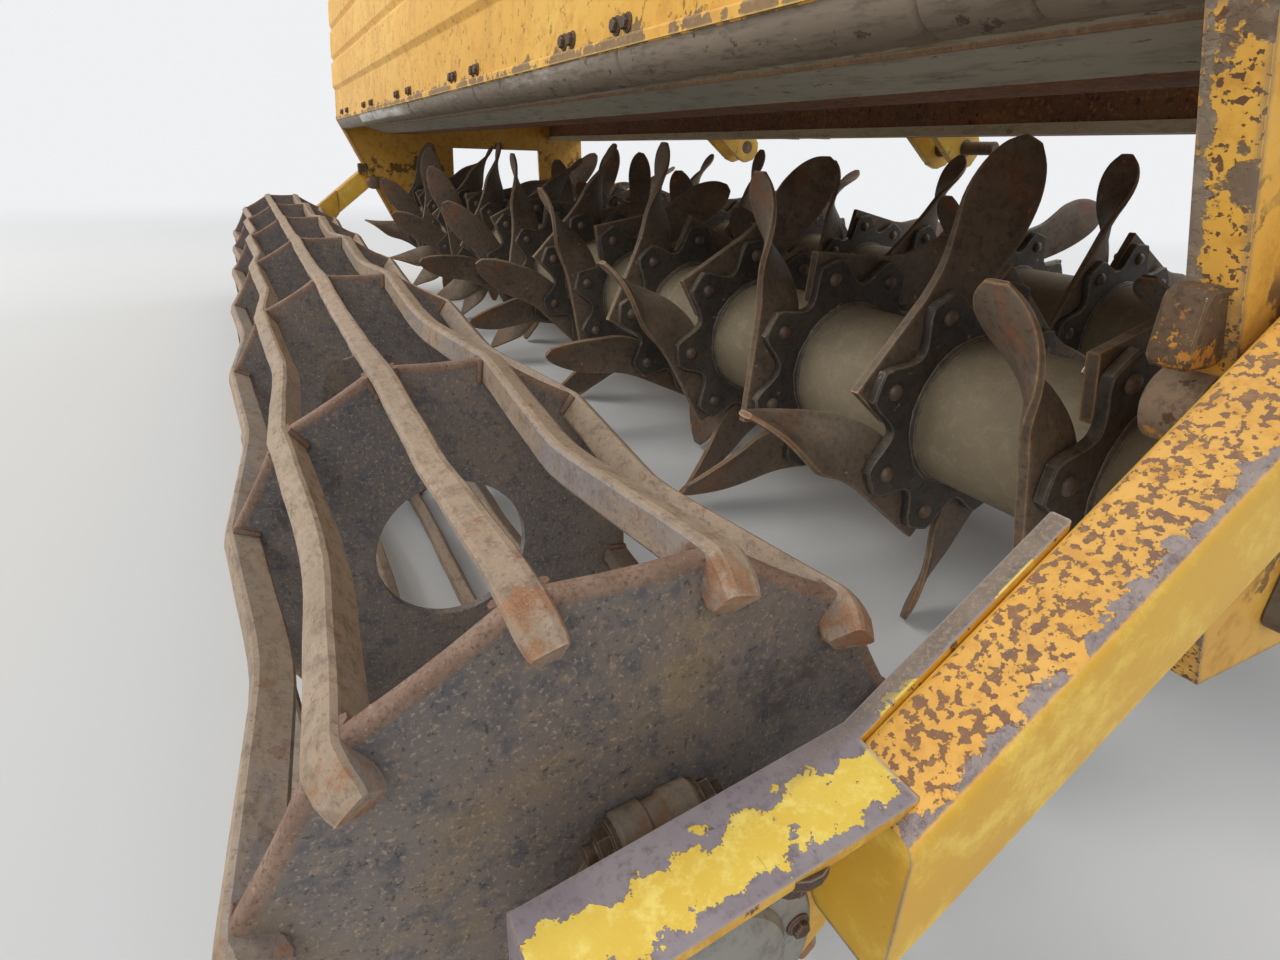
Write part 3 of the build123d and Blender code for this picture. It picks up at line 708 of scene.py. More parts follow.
def loftRings(bm, rings, closed=False):
    # skins rings of points that have the same count, and caps the first and last
    rows = [[bm.verts.new(point) for point in ring] for ring in rings]
    count = len(rows[0])
    pairs = list(zip(rows, rows[1:])) + ([(rows[-1], rows[0])] if closed else [])
    for first, second in pairs:
        for i in range(count):
            j = (i + 1) % count
            bm.faces.new((first[i], first[j], second[j], second[i]))
    if not closed:
        bm.faces.new(rows[0][::-1])
        bm.faces.new(rows[-1])
    return rows


def bevelSharp(bm, width, segments=2, angle=28.0):
    edges = [e for e in bm.edges if len(e.link_faces) == 2
             and e.calc_face_angle(0) > math.radians(angle)]
    bmesh.ops.bevel(bm, geom=edges, offset=width, segments=segments, profile=0.6, affect="EDGES",
                    clamp_overlap=True)


def softened(node, material, width):
    # the node's own shape with its sharp edges rounded
    bm = bmesh.new()
    bm.from_mesh(frame["nodes"][node].data)
    bmesh.ops.remove_doubles(bm, verts=bm.verts, dist=0.00002)
    bmesh.ops.dissolve_limit(bm, angle_limit=math.radians(0.8), verts=bm.verts, edges=bm.edges)
    bevelSharp(bm, width)
    return stand(meshObject(node + "_rounded", bm, material), bodyOf[node], slotOf[node], node)


def growPlain(base, tree, values, name, body, sharp=35.0):
    # runs a geometry tree once and keeps its result as a plain mesh
    grow = base.modifiers.new("grow", "NODES")
    grow.node_group = tree
    for item in tree.interface.items_tree:
        if item.item_type == "SOCKET" and item.in_out == "INPUT" and item.name in values:
            grow[item.identifier] = values[item.name]
    evaluated = base.evaluated_get(bpy.context.evaluated_depsgraph_get())
    mesh = bpy.data.meshes.new_from_object(evaluated)
    mesh.name = name
    base.modifiers.remove(grow)
    mesh.shade_smooth()
    mesh.set_sharp_from_angle(angle=math.radians(sharp))
    piece = link(bpy.data.objects.new(name, mesh))
    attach(piece, body)
    return piece


def makeGeometryTree(name, inputs):
    tree = bpy.data.node_groups.new(name, "GeometryNodeTree")
    tree.interface.new_socket("Geometry", in_out="INPUT", socket_type="NodeSocketGeometry")
    for socket, kind in inputs:
        tree.interface.new_socket(socket, in_out="INPUT", socket_type="NodeSocket" + kind)
    tree.interface.new_socket("Geometry", in_out="OUTPUT", socket_type="NodeSocketGeometry")
    return tree, tree.nodes.new("NodeGroupInput").outputs, tree.nodes.new("NodeGroupOutput")


def closeTree(tree, geometry, material, end):
    real = makeNode(tree, "GeometryNodeRealizeInstances", {0: geometry}).outputs[0]
    done = makeNode(tree, "GeometryNodeSetMaterial",
                    {"Geometry": real, "Material": material}).outputs[0]
    wire(tree, end, {0: done})


def rowTree():
    # copies of one object in a row or ring, each turned further about the X axis
    tree, start, end = makeGeometryTree("row of copies", (
        ("Source", "Object"), ("Count", "Int"), ("First place", "Vector"),
        ("Step", "Vector"), ("First turn", "Float"), ("Turn step", "Float"),
        ("Odd turn", "Float"), ("Material", "Material"),
    ))
    index = makeNode(tree, "GeometryNodeInputIndex").outputs[0]
    shift = makeNode(tree, "ShaderNodeVectorMath", {0: start["Step"], "Scale": index},
                     operation="SCALE")
    place = makeNode(tree, "ShaderNodeVectorMath", {
        0: start["First place"], 1: shift.outputs[0],
    }, operation="ADD").outputs[0]
    points = makeNode(tree, "GeometryNodePoints",
                      {"Count": start["Count"], "Position": place}).outputs[0]
    odd = mathNode(tree, "MULTIPLY", mathNode(tree, "MODULO", index, 2.0), start["Odd turn"])
    steps = mathNode(tree, "MULTIPLY", index, start["Turn step"])
    angle = mathNode(tree, "ADD", mathNode(tree, "ADD", odd, steps), start["First turn"])
    turned = makeNode(tree, "FunctionNodeAxisAngleToRotation",
                      {"Axis": (1, 0, 0), "Angle": angle}).outputs[0]
    source = makeNode(tree, "GeometryNodeObjectInfo", {"Object": start["Source"]}).outputs["Geometry"]
    copies = makeNode(tree, "GeometryNodeInstanceOnPoints", {
        "Points": points, "Instance": source, "Rotation": turned,
    }).outputs[0]
    closeTree(tree, copies, start["Material"], end)
    return tree


def fastenerTree():
    # one copy on each point of a loose mesh, standing along the point's aim and scaled by its size
    tree, start, end = makeGeometryTree("fasteners", (
        ("Source", "Object"), ("Material", "Material"),
    ))
    aim = makeNode(tree, "GeometryNodeInputNamedAttribute", {"Name": "aim"},
                   data_type="FLOAT_VECTOR").outputs[0]
    size = makeNode(tree, "GeometryNodeInputNamedAttribute", {"Name": "size"},
                    data_type="FLOAT").outputs[0]
    aligned = makeNode(tree, "FunctionNodeAlignRotationToVector", {"Vector": aim}, axis="Z").outputs[0]
    source = makeNode(tree, "GeometryNodeObjectInfo", {"Object": start["Source"]}).outputs["Geometry"]
    copies = makeNode(tree, "GeometryNodeInstanceOnPoints", {
        "Points": start["Geometry"], "Instance": source, "Rotation": aligned, "Scale": size,
    }).outputs[0]
    closeTree(tree, copies, start["Material"], end)
    return tree


def beadTree():
    # a rippled weld along every chain of edges
    tree, start, end = makeGeometryTree("weld bead", (
        ("Radius", "Float"), ("Ripple", "Float"), ("Roughness", "Float"),
        ("Seed", "Float"), ("Material", "Material"),
    ))
    curve = makeNode(tree, "GeometryNodeMeshToCurve", {0: start["Geometry"]}).outputs[0]
    even = makeNode(tree, "GeometryNodeResampleCurve", {
        "Curve": curve, "Length": start["Ripple"],
    }, mode="LENGTH")
    noise = makeNode(tree, "ShaderNodeTexNoise", {
        "Scale": 260.0, "Detail": 2.0, "W": start["Seed"],
    }, noise_dimensions="4D").outputs["Fac"]
    swell = mathNode(tree, "MULTIPLY", mathNode(tree, "SUBTRACT", noise, 0.5), start["Roughness"])
    swell = mathNode(tree, "ADD", 1.0, swell)
    radius = mathNode(tree, "MULTIPLY", start["Radius"], swell)
    profile = makeNode(tree, "GeometryNodeCurvePrimitiveCircle", {"Resolution": 6, "Radius": 1.0},
                       mode="RADIUS").outputs[0]
    body = makeNode(tree, "GeometryNodeCurveToMesh", {
        "Curve": even.outputs[0], "Profile Curve": profile, "Scale": radius, "Fill Caps": True,
    })
    closeTree(tree, body.outputs[0], start["Material"], end)
    return tree


rows, fasteners, beads = rowTree(), fastenerTree(), beadTree()
empty = link(bpy.data.objects.new("seed", bpy.data.meshes.new("seed")))
print("geometry trees built")

# Rounded copies of the frame's welded parts

softWidths = {
    "right_end_plate": 0.002, "left_end_plate": 0.002, "right_roller_carrier": 0.0015,
    "left_roller_carrier": 0.0015, "mast_plates": 0.002, "mast_braces": 0.002,
    "lower_link_plates": 0.002, "front_beam": 0.006, "rear_beam": 0.006, "rear_panel": 0.0022,
    "top_panel": 0.0015,
}
for look, nodes in nodeFinish.items():
    for node in nodes:
        if node in softWidths:
            softened(node, look, softWidths[node])
print("edges rounded on", len(softWidths), "nodes")

# Round parts of the running gear

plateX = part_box("rear_panel")[1].x
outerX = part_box("right_end_plate")[1].x
halfWidth = cadBox[1][0]
armNear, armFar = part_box("right_roller_arm")[0].x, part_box("right_roller_arm")[1].x
frontAxis, rollerAxis = middleOf("front_rotor_tube"), middleOf("roller_stub_shafts")
pivotAxis = middleOf("right_arm_pivot")
sides = (("right", 1), ("left", -1))
rotors = (("rear_rotor", rearAxis), ("front_rotor", frontAxis))


def revolve(bm, outline, place, axis, steps):
    # turns an outline of (along, out) pairs about a line
    axis = Vector(axis).normalized()
    side = axis.orthogonal().normalized()
    other = axis.cross(side)
    rings = []
    for k in range(steps):
        angle = 2 * math.pi * (k + 0.5) / steps
        radial = side * math.cos(angle) + other * math.sin(angle)
        rings.append([Vector(place) + axis * a + radial * r for a, r in outline])
    rows = [[bm.verts.new(p) for p in ring] for ring in rings]
    for k in range(steps):
        first, second = rows[k], rows[(k + 1) % steps]
        for i in range(len(outline) - 1):
            bm.faces.new((first[i], first[i + 1], second[i + 1], second[i]))
    bmesh.ops.remove_doubles(bm, verts=bm.verts, dist=0.000001)


def addRevolved(bm, outline, axis, steps):
    # made as a mesh of its own, so that it isn't joined to what is there
    part = bmesh.new()
    revolve(part, outline, (0, axis.y, axis.z), (1, 0, 0), steps)
    data = bpy.data.meshes.new("part")
    part.to_mesh(data)
    part.free()
    bm.from_mesh(data)
    bpy.data.meshes.remove(data)


def turned(name, outlines, axis, look, steps=64, sharp=32.0):
    # closed round shapes about one line along X, from outlines of (x, radius) pairs
    bm = bmesh.new()
    for outline in outlines:
        addRevolved(bm, outline, axis, steps)
    return meshObject(name, bm, look, sharp)


def bothSides(outline):
    return [[(way * x, radius) for x, radius in outline] for way in (1, -1)]


tube = {"half": 1.537, "radius": 0.084, "wall": 0.008, "round": 0.002, "stubEnd": 1.605, "stub": 0.025,
        "plugDepth": 0.030, "face": 0.001, "collar": 0.036, "collarEdge": 0.031, "proud": 0.004}
for body, axis in rotors:
    half, outer, inner, r = tube["half"], tube["radius"], tube["radius"] - tube["wall"], tube["round"]
    shell = [(-half, inner), (-half, outer - r), (-half + r, outer), (half - r, outer),
             (half, outer - r), (half, inner)]
    stand(turned(body + "_tube_round", [shell + [(-half, inner)]], axis, "dustyTube", 96), body,
          "dusty_tube", body + "_tube")
    end, stub, sunk, proud = tube["stubEnd"], tube["stub"], half - tube["face"], half + tube["proud"]
    plug = [(half - tube["plugDepth"], 0.0), (half - tube["plugDepth"], inner), (sunk, inner),
            (sunk, tube["collar"]), (proud, tube["collarEdge"]), (proud, stub), (end - r, stub),
            (end, stub - r), (end, 0.008), (end - 0.004, 0.0)]
    stand(turned(body + "_shaft_ends", bothSides(plug), axis, "wornSteel", 40), body, "worn_steel",
          body + "_stub_shafts")


def roundedRectangle(wide, tall, radius, steps=5):
    points = []
    for corner, (a, b) in enumerate(((1, 1), (-1, 1), (-1, -1), (1, -1))):
        for k in range(steps + 1):
            angle = math.pi / 2 * (corner + k / steps)
            points.append((a * (wide / 2 - radius) + radius * math.cos(angle),
                           b * (tall / 2 - radius) + radius * math.sin(angle)))
    return points


def plateAlongX(bm, outline, xa, xb, chamfer):
    # an outline of (y, z) points pushed along X, its rims chamfered at both faces
    middle = Vector((0, sum(y for y, z in outline) / len(outline),
                     sum(z for y, z in outline) / len(outline)))
    x0, x1 = min(xa, xb), max(xa, xb)
    rings = []
    for x, inset in ((x0, chamfer), (x0 + chamfer, 0), (x1 - chamfer, 0), (x1, chamfer)):
        ring = []
        for y, z in outline:
            out = Vector((0, y, z)) - middle
            ring.append(Vector((x, y, z)) - out.normalized() * inset)
        rings.append(ring)
    loftRings(bm, rings)


housing = {
    "square": 0.124, "corner": 0.018, "flange": 0.016, "chamfer": 0.002,
    "dome": ((0.012, 0.0), (0.012, 0.058), (0.019, 0.056), (0.026, 0.047), (0.036, 0.045),
             (0.0395, 0.041), (0.0395, 0.027), (0.035, 0.0255), (0.035, 0.0)),
}
for side, way in sides:
    for where, axis in (("rear", rearAxis), ("front", frontAxis)):
        bm = bmesh.new()
        square = [(axis.y + y, axis.z + z)
                  for y, z in roundedRectangle(housing["square"], housing["square"], housing["corner"])]
        plateAlongX(bm, square, way * outerX, way * (outerX + housing["flange"]), housing["chamfer"])
        pieces = [meshObject(f"{side}_{where}_bearing_flange", bm, "rustyCasting")]
        dome = [(way * (outerX + x), radius) for x, radius in housing["dome"]]
        pieces.append(turned(f"{side}_{where}_bearing_dome", [dome], axis, "rustyCasting", 48))
        for piece in pieces:
            stand(piece, "frame", "cast_housing", side + "_rotor_bearings")

hub = {
    "deep": 0.028, "bore": 0.0245,
    "collar": ((1.478, 0.0), (1.478, 0.046), (1.480, 0.048), (1.5, 0.048), (1.5, 0.034), (1.515, 0.034),
               (1.517, 0.032), (1.517, 0.024), (1.5625, 0.024), (1.5625, 0.0)),
    "housing": ((0.0, 0.0245), (0.0, 0.049), (0.0015, 0.050), (0.010, 0.050), (0.013, 0.047),
                (0.015, 0.042), (0.026, 0.040), (0.028, 0.038), (0.028, 0.0245)),
    "cap": ((0.0, 0.0), (0.0, 0.070), (0.006, 0.070), (0.0085, 0.068), (0.0085, 0.052), (0.013, 0.049),
            (0.0155, 0.043), (0.016, 0.0)),
}
stand(turned("roller_shaft_ends", bothSides(hub["collar"]), rollerAxis, "wornSteel", 40), "cage_roller",
      "worn_steel", "roller_stub_shafts")
for side, way in sides:
    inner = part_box("right_roller_bearing")[0].x + hub["deep"]
    shapes = [[(way * (inner - a), radius)
               for a, radius in hub["housing"]] + [(way * inner, hub["bore"])],
              [(way * (armNear + a), radius) for a, radius in hub["cap"]]]
    stand(turned(side + "_roller_hub", shapes, rollerAxis, "greyHub", 64), "roller_arms",
          "cast_housing", side + "_roller_bearing")

pivot = {"boss": 0.044, "pin": 0.020, "cap": 0.032, "round": 0.002, "gap": 0.0003, "centre": 0.010}
for side, way in sides:
    r, near, far = pivot["round"], armNear - pivot["gap"], armFar + pivot["gap"]
    outline = [(outerX, 0.0), (outerX, pivot["boss"]), (armNear - r, pivot["boss"]),
               (near, pivot["boss"] - r), (near, pivot["pin"]), (far, pivot["pin"]),
               (far, pivot["cap"]), (halfWidth - r, pivot["cap"]), (halfWidth, pivot["cap"] - r),
               (halfWidth, pivot["centre"]), (halfWidth - 0.003, 0.0)]
    outline = [(way * x, radius) for x, radius in outline]
    stand(turned(side + "_pivot_pin", [outline], pivotAxis, "rustyCasting", 48), "frame",
          "yellow_paint", side + "_arm_pivot")

arm = {"wide": 0.050, "tall": 0.070, "corner": 0.007, "cut": 0.073, "past": 0.052, "sleeve": 0.035,
       "bore": 0.0202, "round": 0.0015}


def armPiece(side, way):
    # a box-section arm cut off square to the floor at the roller, with a sleeve round the hinge pin
    along = pivotAxis - rollerAxis
    along.x = 0
    run = along.length
    along.normalize()
    rise = Vector((0, -along.z, along.y))
    section = roundedRectangle(arm["wide"], arm["tall"], arm["corner"])
    middle = Vector((way * (armNear + armFar) / 2, rollerAxis.y, rollerAxis.z))
    rings = []
    for share in (0.0, 0.25, 0.5, 0.75, 1.0):
        ring = []
        for x, h in section:
            first = (arm["cut"] + h * along.z) / along.y
            reach = first + (run + arm["past"] - first) * share
            ring.append(middle + Vector((x, 0, 0)) + along * reach + rise * h)
        rings.append(ring)
    bm = bmesh.new()
    loftRings(bm, rings)
    bevelSharp(bm, 0.003, 3, 40)
    x0, x1, r = armNear, armFar, arm["round"]
    ring = [(x0, arm["bore"]), (x0, arm["sleeve"] - r), (x0 + r, arm["sleeve"]),
            (x1 - r, arm["sleeve"]), (x1, arm["sleeve"] - r), (x1, arm["bore"]), (x0, arm["bore"])]
    addRevolved(bm, [(way * x, radius) for x, radius in ring], pivotAxis, 40)
    stand(meshObject(side + "_arm_tube", bm, "armYellow", 30.0), "roller_arms", "yellow_paint",
          side + "_roller_arm")


for side, way in sides:
    armPiece(side, way)
print("round parts made")

# Stars: scalloped plates, their tines of two hands, bolts and welds

star = {
    "count": 15, "pitch": 0.203, "thickness": 0.012, "tubeRadius": 0.084, "boltRadius": 0.125,
    "lobes": 8, "lobeSteps": 14, "weldSteps": 40, "lobeRadius": 0.1485, "valleyRadius": 0.113,
    "flank": 8.0, "helix": 10.0, "weld": 0.005, "chamfer": 0.0018, "rear_rotor": 33.0,
    "front_rotor": 10.0,
}
tine = {
    "overhang": 0.026, "rings": 22, "corners": 14,
    "stations": (
        # past the bolt, swept back, width, thickness, share of the twist, squareness
        (0.0, 0.0, 0.064, 0.012, 0.0, 0.14),
        (0.036, 0.003, 0.068, 0.012, 0.10, 0.2),
        (0.072, 0.013, 0.076, 0.0115, 0.30, 0.32),
        (0.108, 0.026, 0.080, 0.0105, 0.62, 0.4),
        (0.143, 0.036, 0.071, 0.0095, 0.84, 0.45),
        (0.168, 0.043, 0.050, 0.0085, 0.95, 0.5),
        (0.184, 0.047, 0.020, 0.0070, 1.0, 0.6),
    ),
    "hands": ((90.0, 0.020), (-42.0, -0.008)),
}


def throughPoints(table, count):
    # evenly spaced rows on a smooth curve through the table's rows
    made = []
    last = len(table) - 1
    for k in range(count):
        at = last * k / (count - 1)
        i = min(int(at), last - 1)
        t = at - i
        a, b, c, d = (table[max(i - 1, 0)], table[i], table[i + 1], table[min(i + 2, last)])
        made.append([
            0.5 * (2 * q + (r - p) * t + (2 * p - 5 * q + 4 * r - s) * t * t
                   + (3 * q - p - 3 * r + s) * t ** 3)
            for p, q, r, s in zip(a, b, c, d)
        ])
    return made


def roundedBar(width, thickness, squareness, corners):
    # a flat bar's section; squareness 0 is a box and 1 an ellipse
    points = []
    for k in range(corners):
        angle = 2 * math.pi * (k + 0.5) / corners
        c, s = math.cos(angle), math.sin(angle)
        points.append((math.copysign(abs(c) ** squareness, c) * width / 2,
                       math.copysign(abs(s) ** squareness, s) * thickness / 2))
    return points


def addTine(bm, boltAngle, hand):
    twist, drift = tine["hands"][hand]
    lobe = 2 * math.pi / star["lobes"]
    bolt = Vector((0, math.cos(boltAngle), math.sin(boltAngle))) * star["boltRadius"]
    chord = 2 * star["boltRadius"] * math.sin(lobe / 2)
    along = boltAngle + lobe / 2 - math.pi / 2
    run = Vector((0, math.cos(along), math.sin(along)))
    outward = Vector((0, -math.sin(along), math.cos(along)))
    across = Vector((1, 0, 0))
    shank = tine["stations"][0]
    rings = [(-chord - tine["overhang"],) + shank[1:], (-chord * 0.5,) + shank[1:]]
    rings += throughPoints(tine["stations"], tine["rings"])
    sections = []
    for reach, sweep, width, thickness, share, squareness in rings:
        centre = bolt + run * reach + outward * sweep - across * (shank[3] / 2 + drift * share)
        angle = math.radians(twist * share)
        wide = outward * math.cos(angle) + across * math.sin(angle)
        thick = across * math.cos(angle) - outward * math.sin(angle)
        section = roundedBar(width, thickness, max(squareness, 0.1), tine["corners"])
        sections.append([centre + wide * a + thick * b for a, b in section])
    tip = bm.verts.layers.float["tip"]
    for ring, values in zip(loftRings(bm, sections), rings):
        for vert in ring:
            vert[tip] = max(values[4], 0.0)


def tineSet():
    bm = bmesh.new()
    bm.verts.layers.float.new("tip")
    for k in range(star["lobes"] // 2):
        addTine(bm, k * 4 * math.pi / star["lobes"], k % 2)
    return meshObject("tineSet", bm, sharp=40.0)


def starPlate():
    bm = bmesh.new()
    lobe = 2 * math.pi / star["lobes"]
    outer, inner = [], []
    fall = star["lobeRadius"] - star["valleyRadius"]
    for i in range(star["lobes"] * star["lobeSteps"]):
        angle = lobe * i / star["lobeSteps"]
        off = abs((angle + lobe / 2) % lobe - lobe / 2)
        share = max(0.0, (math.degrees(off) - star["flank"]) / (math.degrees(lobe) / 2 - star["flank"]))
        reach = star["lobeRadius"] - fall * math.sin(share * math.pi / 2) ** 0.85
        outer.append((reach * math.cos(angle), reach * math.sin(angle)))
        inner.append((star["tubeRadius"] * math.cos(angle), star["tubeRadius"] * math.sin(angle)))
    thick, chamfer = star["thickness"], star["chamfer"]
    rings = []
    for x, inset in ((0, chamfer), (chamfer, 0), (thick - chamfer, 0), (thick, chamfer)):
        shrunk = [(y, z, 1 - inset / math.hypot(y, z)) for y, z in outer]
        rings.append([(x, y * by, z * by) for y, z, by in shrunk])
    rings += [[(x, y, z) for y, z in inner] for x in (thick, 0)]
    loftRings(bm, rings, closed=True)
    return meshObject("starPlate", bm, sharp=50.0)


def starBolts():
    bm = bmesh.new()
    head = ((0.0, 0.0095), (0.0018, 0.0095), (0.0045, 0.0072), (0.0062, 0.0035), (0.0066, 0.0))
    nut = ((0.0, 0.0105), (0.009, 0.0105), (0.0105, 0.0085), (0.0105, 0.0055), (0.016, 0.0052),
           (0.0165, 0.0))
    for k in range(star["lobes"]):
        angle = 2 * math.pi * k / star["lobes"]
        place = (star["thickness"], star["boltRadius"] * math.cos(angle),
                 star["boltRadius"] * math.sin(angle))
        revolve(bm, head, place, (1, 0, 0), 10)
        revolve(bm, nut, (-star["thickness"], place[1], place[2]), (-1, 0, 0), 6)
    return meshObject("starBolts", bm, sharp=30.0)


def starWelds():
    bm = bmesh.new()
    for x in (-0.0005, star["thickness"] + 0.0005):
        rings = []
        for k in range(star["weldSteps"]):
            angle = 2 * math.pi * k / star["weldSteps"]
            swell = 1 + 0.22 * math.sin(k * 5.3 + x * 900) * math.cos(k * 2.1)
            out = Vector((0, math.cos(angle), math.sin(angle)))
            size = star["weld"] * swell
            rings.append([Vector((x, 0, 0)) + out * (star["tubeRadius"] + size * math.cos(u))
                          + Vector((size * math.sin(u), 0, 0)) for u in (0, 1.26, 2.51, 3.77, 5.03)])
        loftRings(bm, rings, closed=True)
    return meshObject("starWelds", bm, sharp=60.0)


starParts = (
    # maker, finish, what it is called, replaces the node
    (tineSet, "tineSteel", "tines", True), (starPlate, "starPlate", "star_plates", False),
    (starBolts, "wornSteel", "star_bolts", False), (starWelds, "starPlate", "star_welds", False),
)
for make, look, called, stands in starParts:
    source = make()
    for body, axis in rotors:
        width = star["pitch"] * (star["count"] - 1)
        piece = growPlain(empty, rows, {
            "Source": source, "Count": star["count"], "First place": (-width / 2, axis.y, axis.z),
            "Step": (star["pitch"], 0, 0), "First turn": math.radians(star[body]),
            "Turn step": math.radians(star["helix"]), "Odd turn": 2 * math.pi / star["lobes"],
            "Material": finish[look],
        }, body + "_" + called, body, 40.0)
        if stands:
            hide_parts(body + "_stars")
    bpy.data.objects.remove(source)
print("stars made")

# Cage roller: heavy bars, dented between the plates that carry them

cage = {
    "bars": 12, "radius": 0.195, "width": 0.021, "innerWidth": 0.014, "depth": 0.026,
    "rounding": 0.0045, "dent": 0.018, "nearBay": 0.380, "otherBay": 0.526, "bays": 6, "sunk": 0.0005,
    "baySteps": 16, "peakFrom": 0.78, "peakSpan": 0.22, "peakCut": 0.09,
    "hook": (
        # past the end plate, in from the rim, turned by, share of the depth, share of the width
        (0.006, 0.0, 0.0, 1.0, 1.0), (0.013, 0.002, 14.0, 1.02, 1.0), (0.020, 0.005, 26.0, 1.0, 1.0),
        (0.026, 0.0095, 34.0, 0.96, 0.95), (0.0295, 0.0125, 38.0, 0.84, 0.84),
    ),
    "plate": 0.010, "inset": 0.0025, "sag": 0.0015, "hole": 0.072, "stub": 0.024,
}
cageEnd = (cage["nearBay"] + (cage["bays"] - 1) * cage["otherBay"]) / 2
platePlaces = [cageEnd, cageEnd - cage["nearBay"]]
platePlaces += [cageEnd - cage["nearBay"] - cage["otherBay"] * (i + 1) for i in range(cage["bays"] - 1)]


def cageBar():
    # one heavy bar at the top of the ring, pressed in at the middle of each bay
    places = [(cageEnd + past, drop, turn, deep, wide)
              for past, drop, turn, deep, wide in cage["hook"][::-1]]
    for near, far in zip(platePlaces, platePlaces[1:]):
        places.append((near, 0.0, 0.0, 1.0, 1.0))
        for k in range(1, cage["baySteps"]):
            t = k / cage["baySteps"]
            bend = 1 - abs(t - 0.5) * 2
            depth = bend - cage["peakCut"] * max(0.0, (bend - cage["peakFrom"]) / cage["peakSpan"]) ** 2
            places.append((near + (far - near) * t, cage["dent"] * max(depth, 0.0), 0.0, 1.0, 1.0))
    places.append((platePlaces[-1], 0.0, 0.0, 1.0, 1.0))
    places += [(platePlaces[-1] - past, drop, -turn, deep, wide)
               for past, drop, turn, deep, wide in cage["hook"]]
    outer, inner, depth, r = cage["width"] / 2, cage["innerWidth"] / 2, cage["depth"], cage["rounding"]
    half = [(0.0, outer - r), (-0.3 * r, outer - 0.3 * r), (-r, outer), (-depth + 0.002, inner),
            (-depth, inner - 0.002)]
    shape = half + [(a, -t) for a, t in half[::-1]]
    bm = bmesh.new()
    flank = bm.verts.layers.float.new("flank")
    rings = []
    for x, dent, turn, deep, wide in places:
        wave = 0.0006 * math.sin(x * 23.0) + 0.0004 * math.sin(x * 61.0)
        s, c = math.sin(math.radians(turn)), math.cos(math.radians(turn))
        top = cage["radius"] - cage["sunk"] - dent
        rings.append([Vector((x + a * deep * s, t * wide + wave, top + a * deep * c))
                      for a, t in shape])
    for ring in loftRings(bm, rings):
        for vert, (a, t) in zip(ring, shape):
            vert[flank] = min(1.0, -a / r) * 0.8
    return meshObject("cageBar", bm, sharp=50.0)


def cageDisc(holeRadius):
    # a plate whose sides curve in between the bars
    bm = bmesh.new()
    rim = bm.verts.layers.float.new("rim")
    steps = 8
    count = cage["bars"] * steps
    reach = cage["radius"] - cage["inset"]
    flat = reach * math.cos(math.pi / cage["bars"])
    outer = []
    for i in range(count):
        angle = 2 * math.pi * i / count
        off = (angle + math.pi / cage["bars"]) % (2 * math.pi / cage["bars"]) - math.pi / cage["bars"]
        share = abs(off) / (math.pi / cage["bars"])
        edge = flat / math.cos(math.pi / cage["bars"] - abs(off))
        outer.append((edge - cage["sag"] * math.sin(share * math.pi / 2) ** 1.5, angle + math.pi / 2))
    half = cage["plate"] / 2
    # across the plate, in from the rim, share of the rim's colour
    section = ((-half, 0.012, 0.0), (-half, 0.006, 0.7), (-half, 0.002, 1.0), (-half + 0.002, 0, 1.0),
               (half - 0.002, 0, 1.0), (half, 0.002, 1.0), (half, 0.006, 0.7), (half, 0.012, 0.0))
    rings = []
    for x, inset, share in section:
        rings.append([(x, (r - inset) * math.cos(a), (r - inset) * math.sin(a)) for r, a in outer])
    rings += [[(x, holeRadius * math.cos(a), holeRadius * math.sin(a)) for r, a in outer]
              for x in (half, -half)]
    for ring, (x, inset, share) in zip(loftRings(bm, rings, closed=True), section):
        for vert in ring:
            vert[rim] = share
    return meshObject("cageDisc", bm, sharp=50.0)


halfStep = math.pi / cage["bars"]
axisPlace = (0, rollerAxis.y, rollerAxis.z)
source = cageBar()
piece = growPlain(empty, rows, {
    "Source": source, "Count": cage["bars"], "First place": axisPlace, "Step": (0, 0, 0),
    "First turn": halfStep, "Turn step": 2 * halfStep, "Odd turn": 0.0, "Material": finish["rollerBar"],
}, "cage_bars", "cage_roller", 22.0)
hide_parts("roller_cage")
bpy.data.objects.remove(source)
for called, hole, count, first, step in (
    ("end_discs", cage["stub"], 2, cageEnd, -2 * cageEnd),
    ("near_disc", cage["hole"], 1, platePlaces[1], 0.0),
    ("inner_discs", cage["hole"], cage["bays"] - 2, platePlaces[2], -cage["otherBay"]),
):
    source = cageDisc(hole)
    growPlain(empty, rows, {
        "Source": source, "Count": count, "First place": (first, rollerAxis.y, rollerAxis.z),
        "Step": (step, 0, 0), "First turn": halfStep, "Turn step": 0.0, "Odd turn": 0.0,
        "Material": finish["rollerPlate"],
    }, "cage_" + called, "cage_roller", 50.0)
    bpy.data.objects.remove(source)
print("roller made")

# Fasteners: one source each, set on loose points


def boltSource(name, outline, steps):
    bm = bmesh.new()
    for part, corners in zip(outline, steps):
        revolve(bm, part, (0, 0, 0), (0, 0, 1), corners)
    return meshObject(name, bm, sharp=30.0)


def setFasteners(name, source, look, body, places):
    # places are (point, way that the head looks, size)
    mesh = bpy.data.meshes.new(name + "_points")
    points, aims, sizes = zip(*places)
    mesh.from_pydata(points, [], [])
    aim = mesh.attributes.new("aim", "FLOAT_VECTOR", "POINT")
    aim.data.foreach_set("vector", [v for way in aims for v in way])
    mesh.attributes.new("size", "FLOAT", "POINT").data.foreach_set("value", sizes)
    points = link(bpy.data.objects.new(name + "_points", mesh))
    growPlain(points, fasteners, {"Source": source, "Material": finish[look]}, name, body, 30.0)
    bpy.data.objects.remove(points)


bead = {"roughness": 1.1, "seed": 3.0, "cage": (0.0032, 0.004), "frame": (0.004, 0.006), "off": 0.0015}


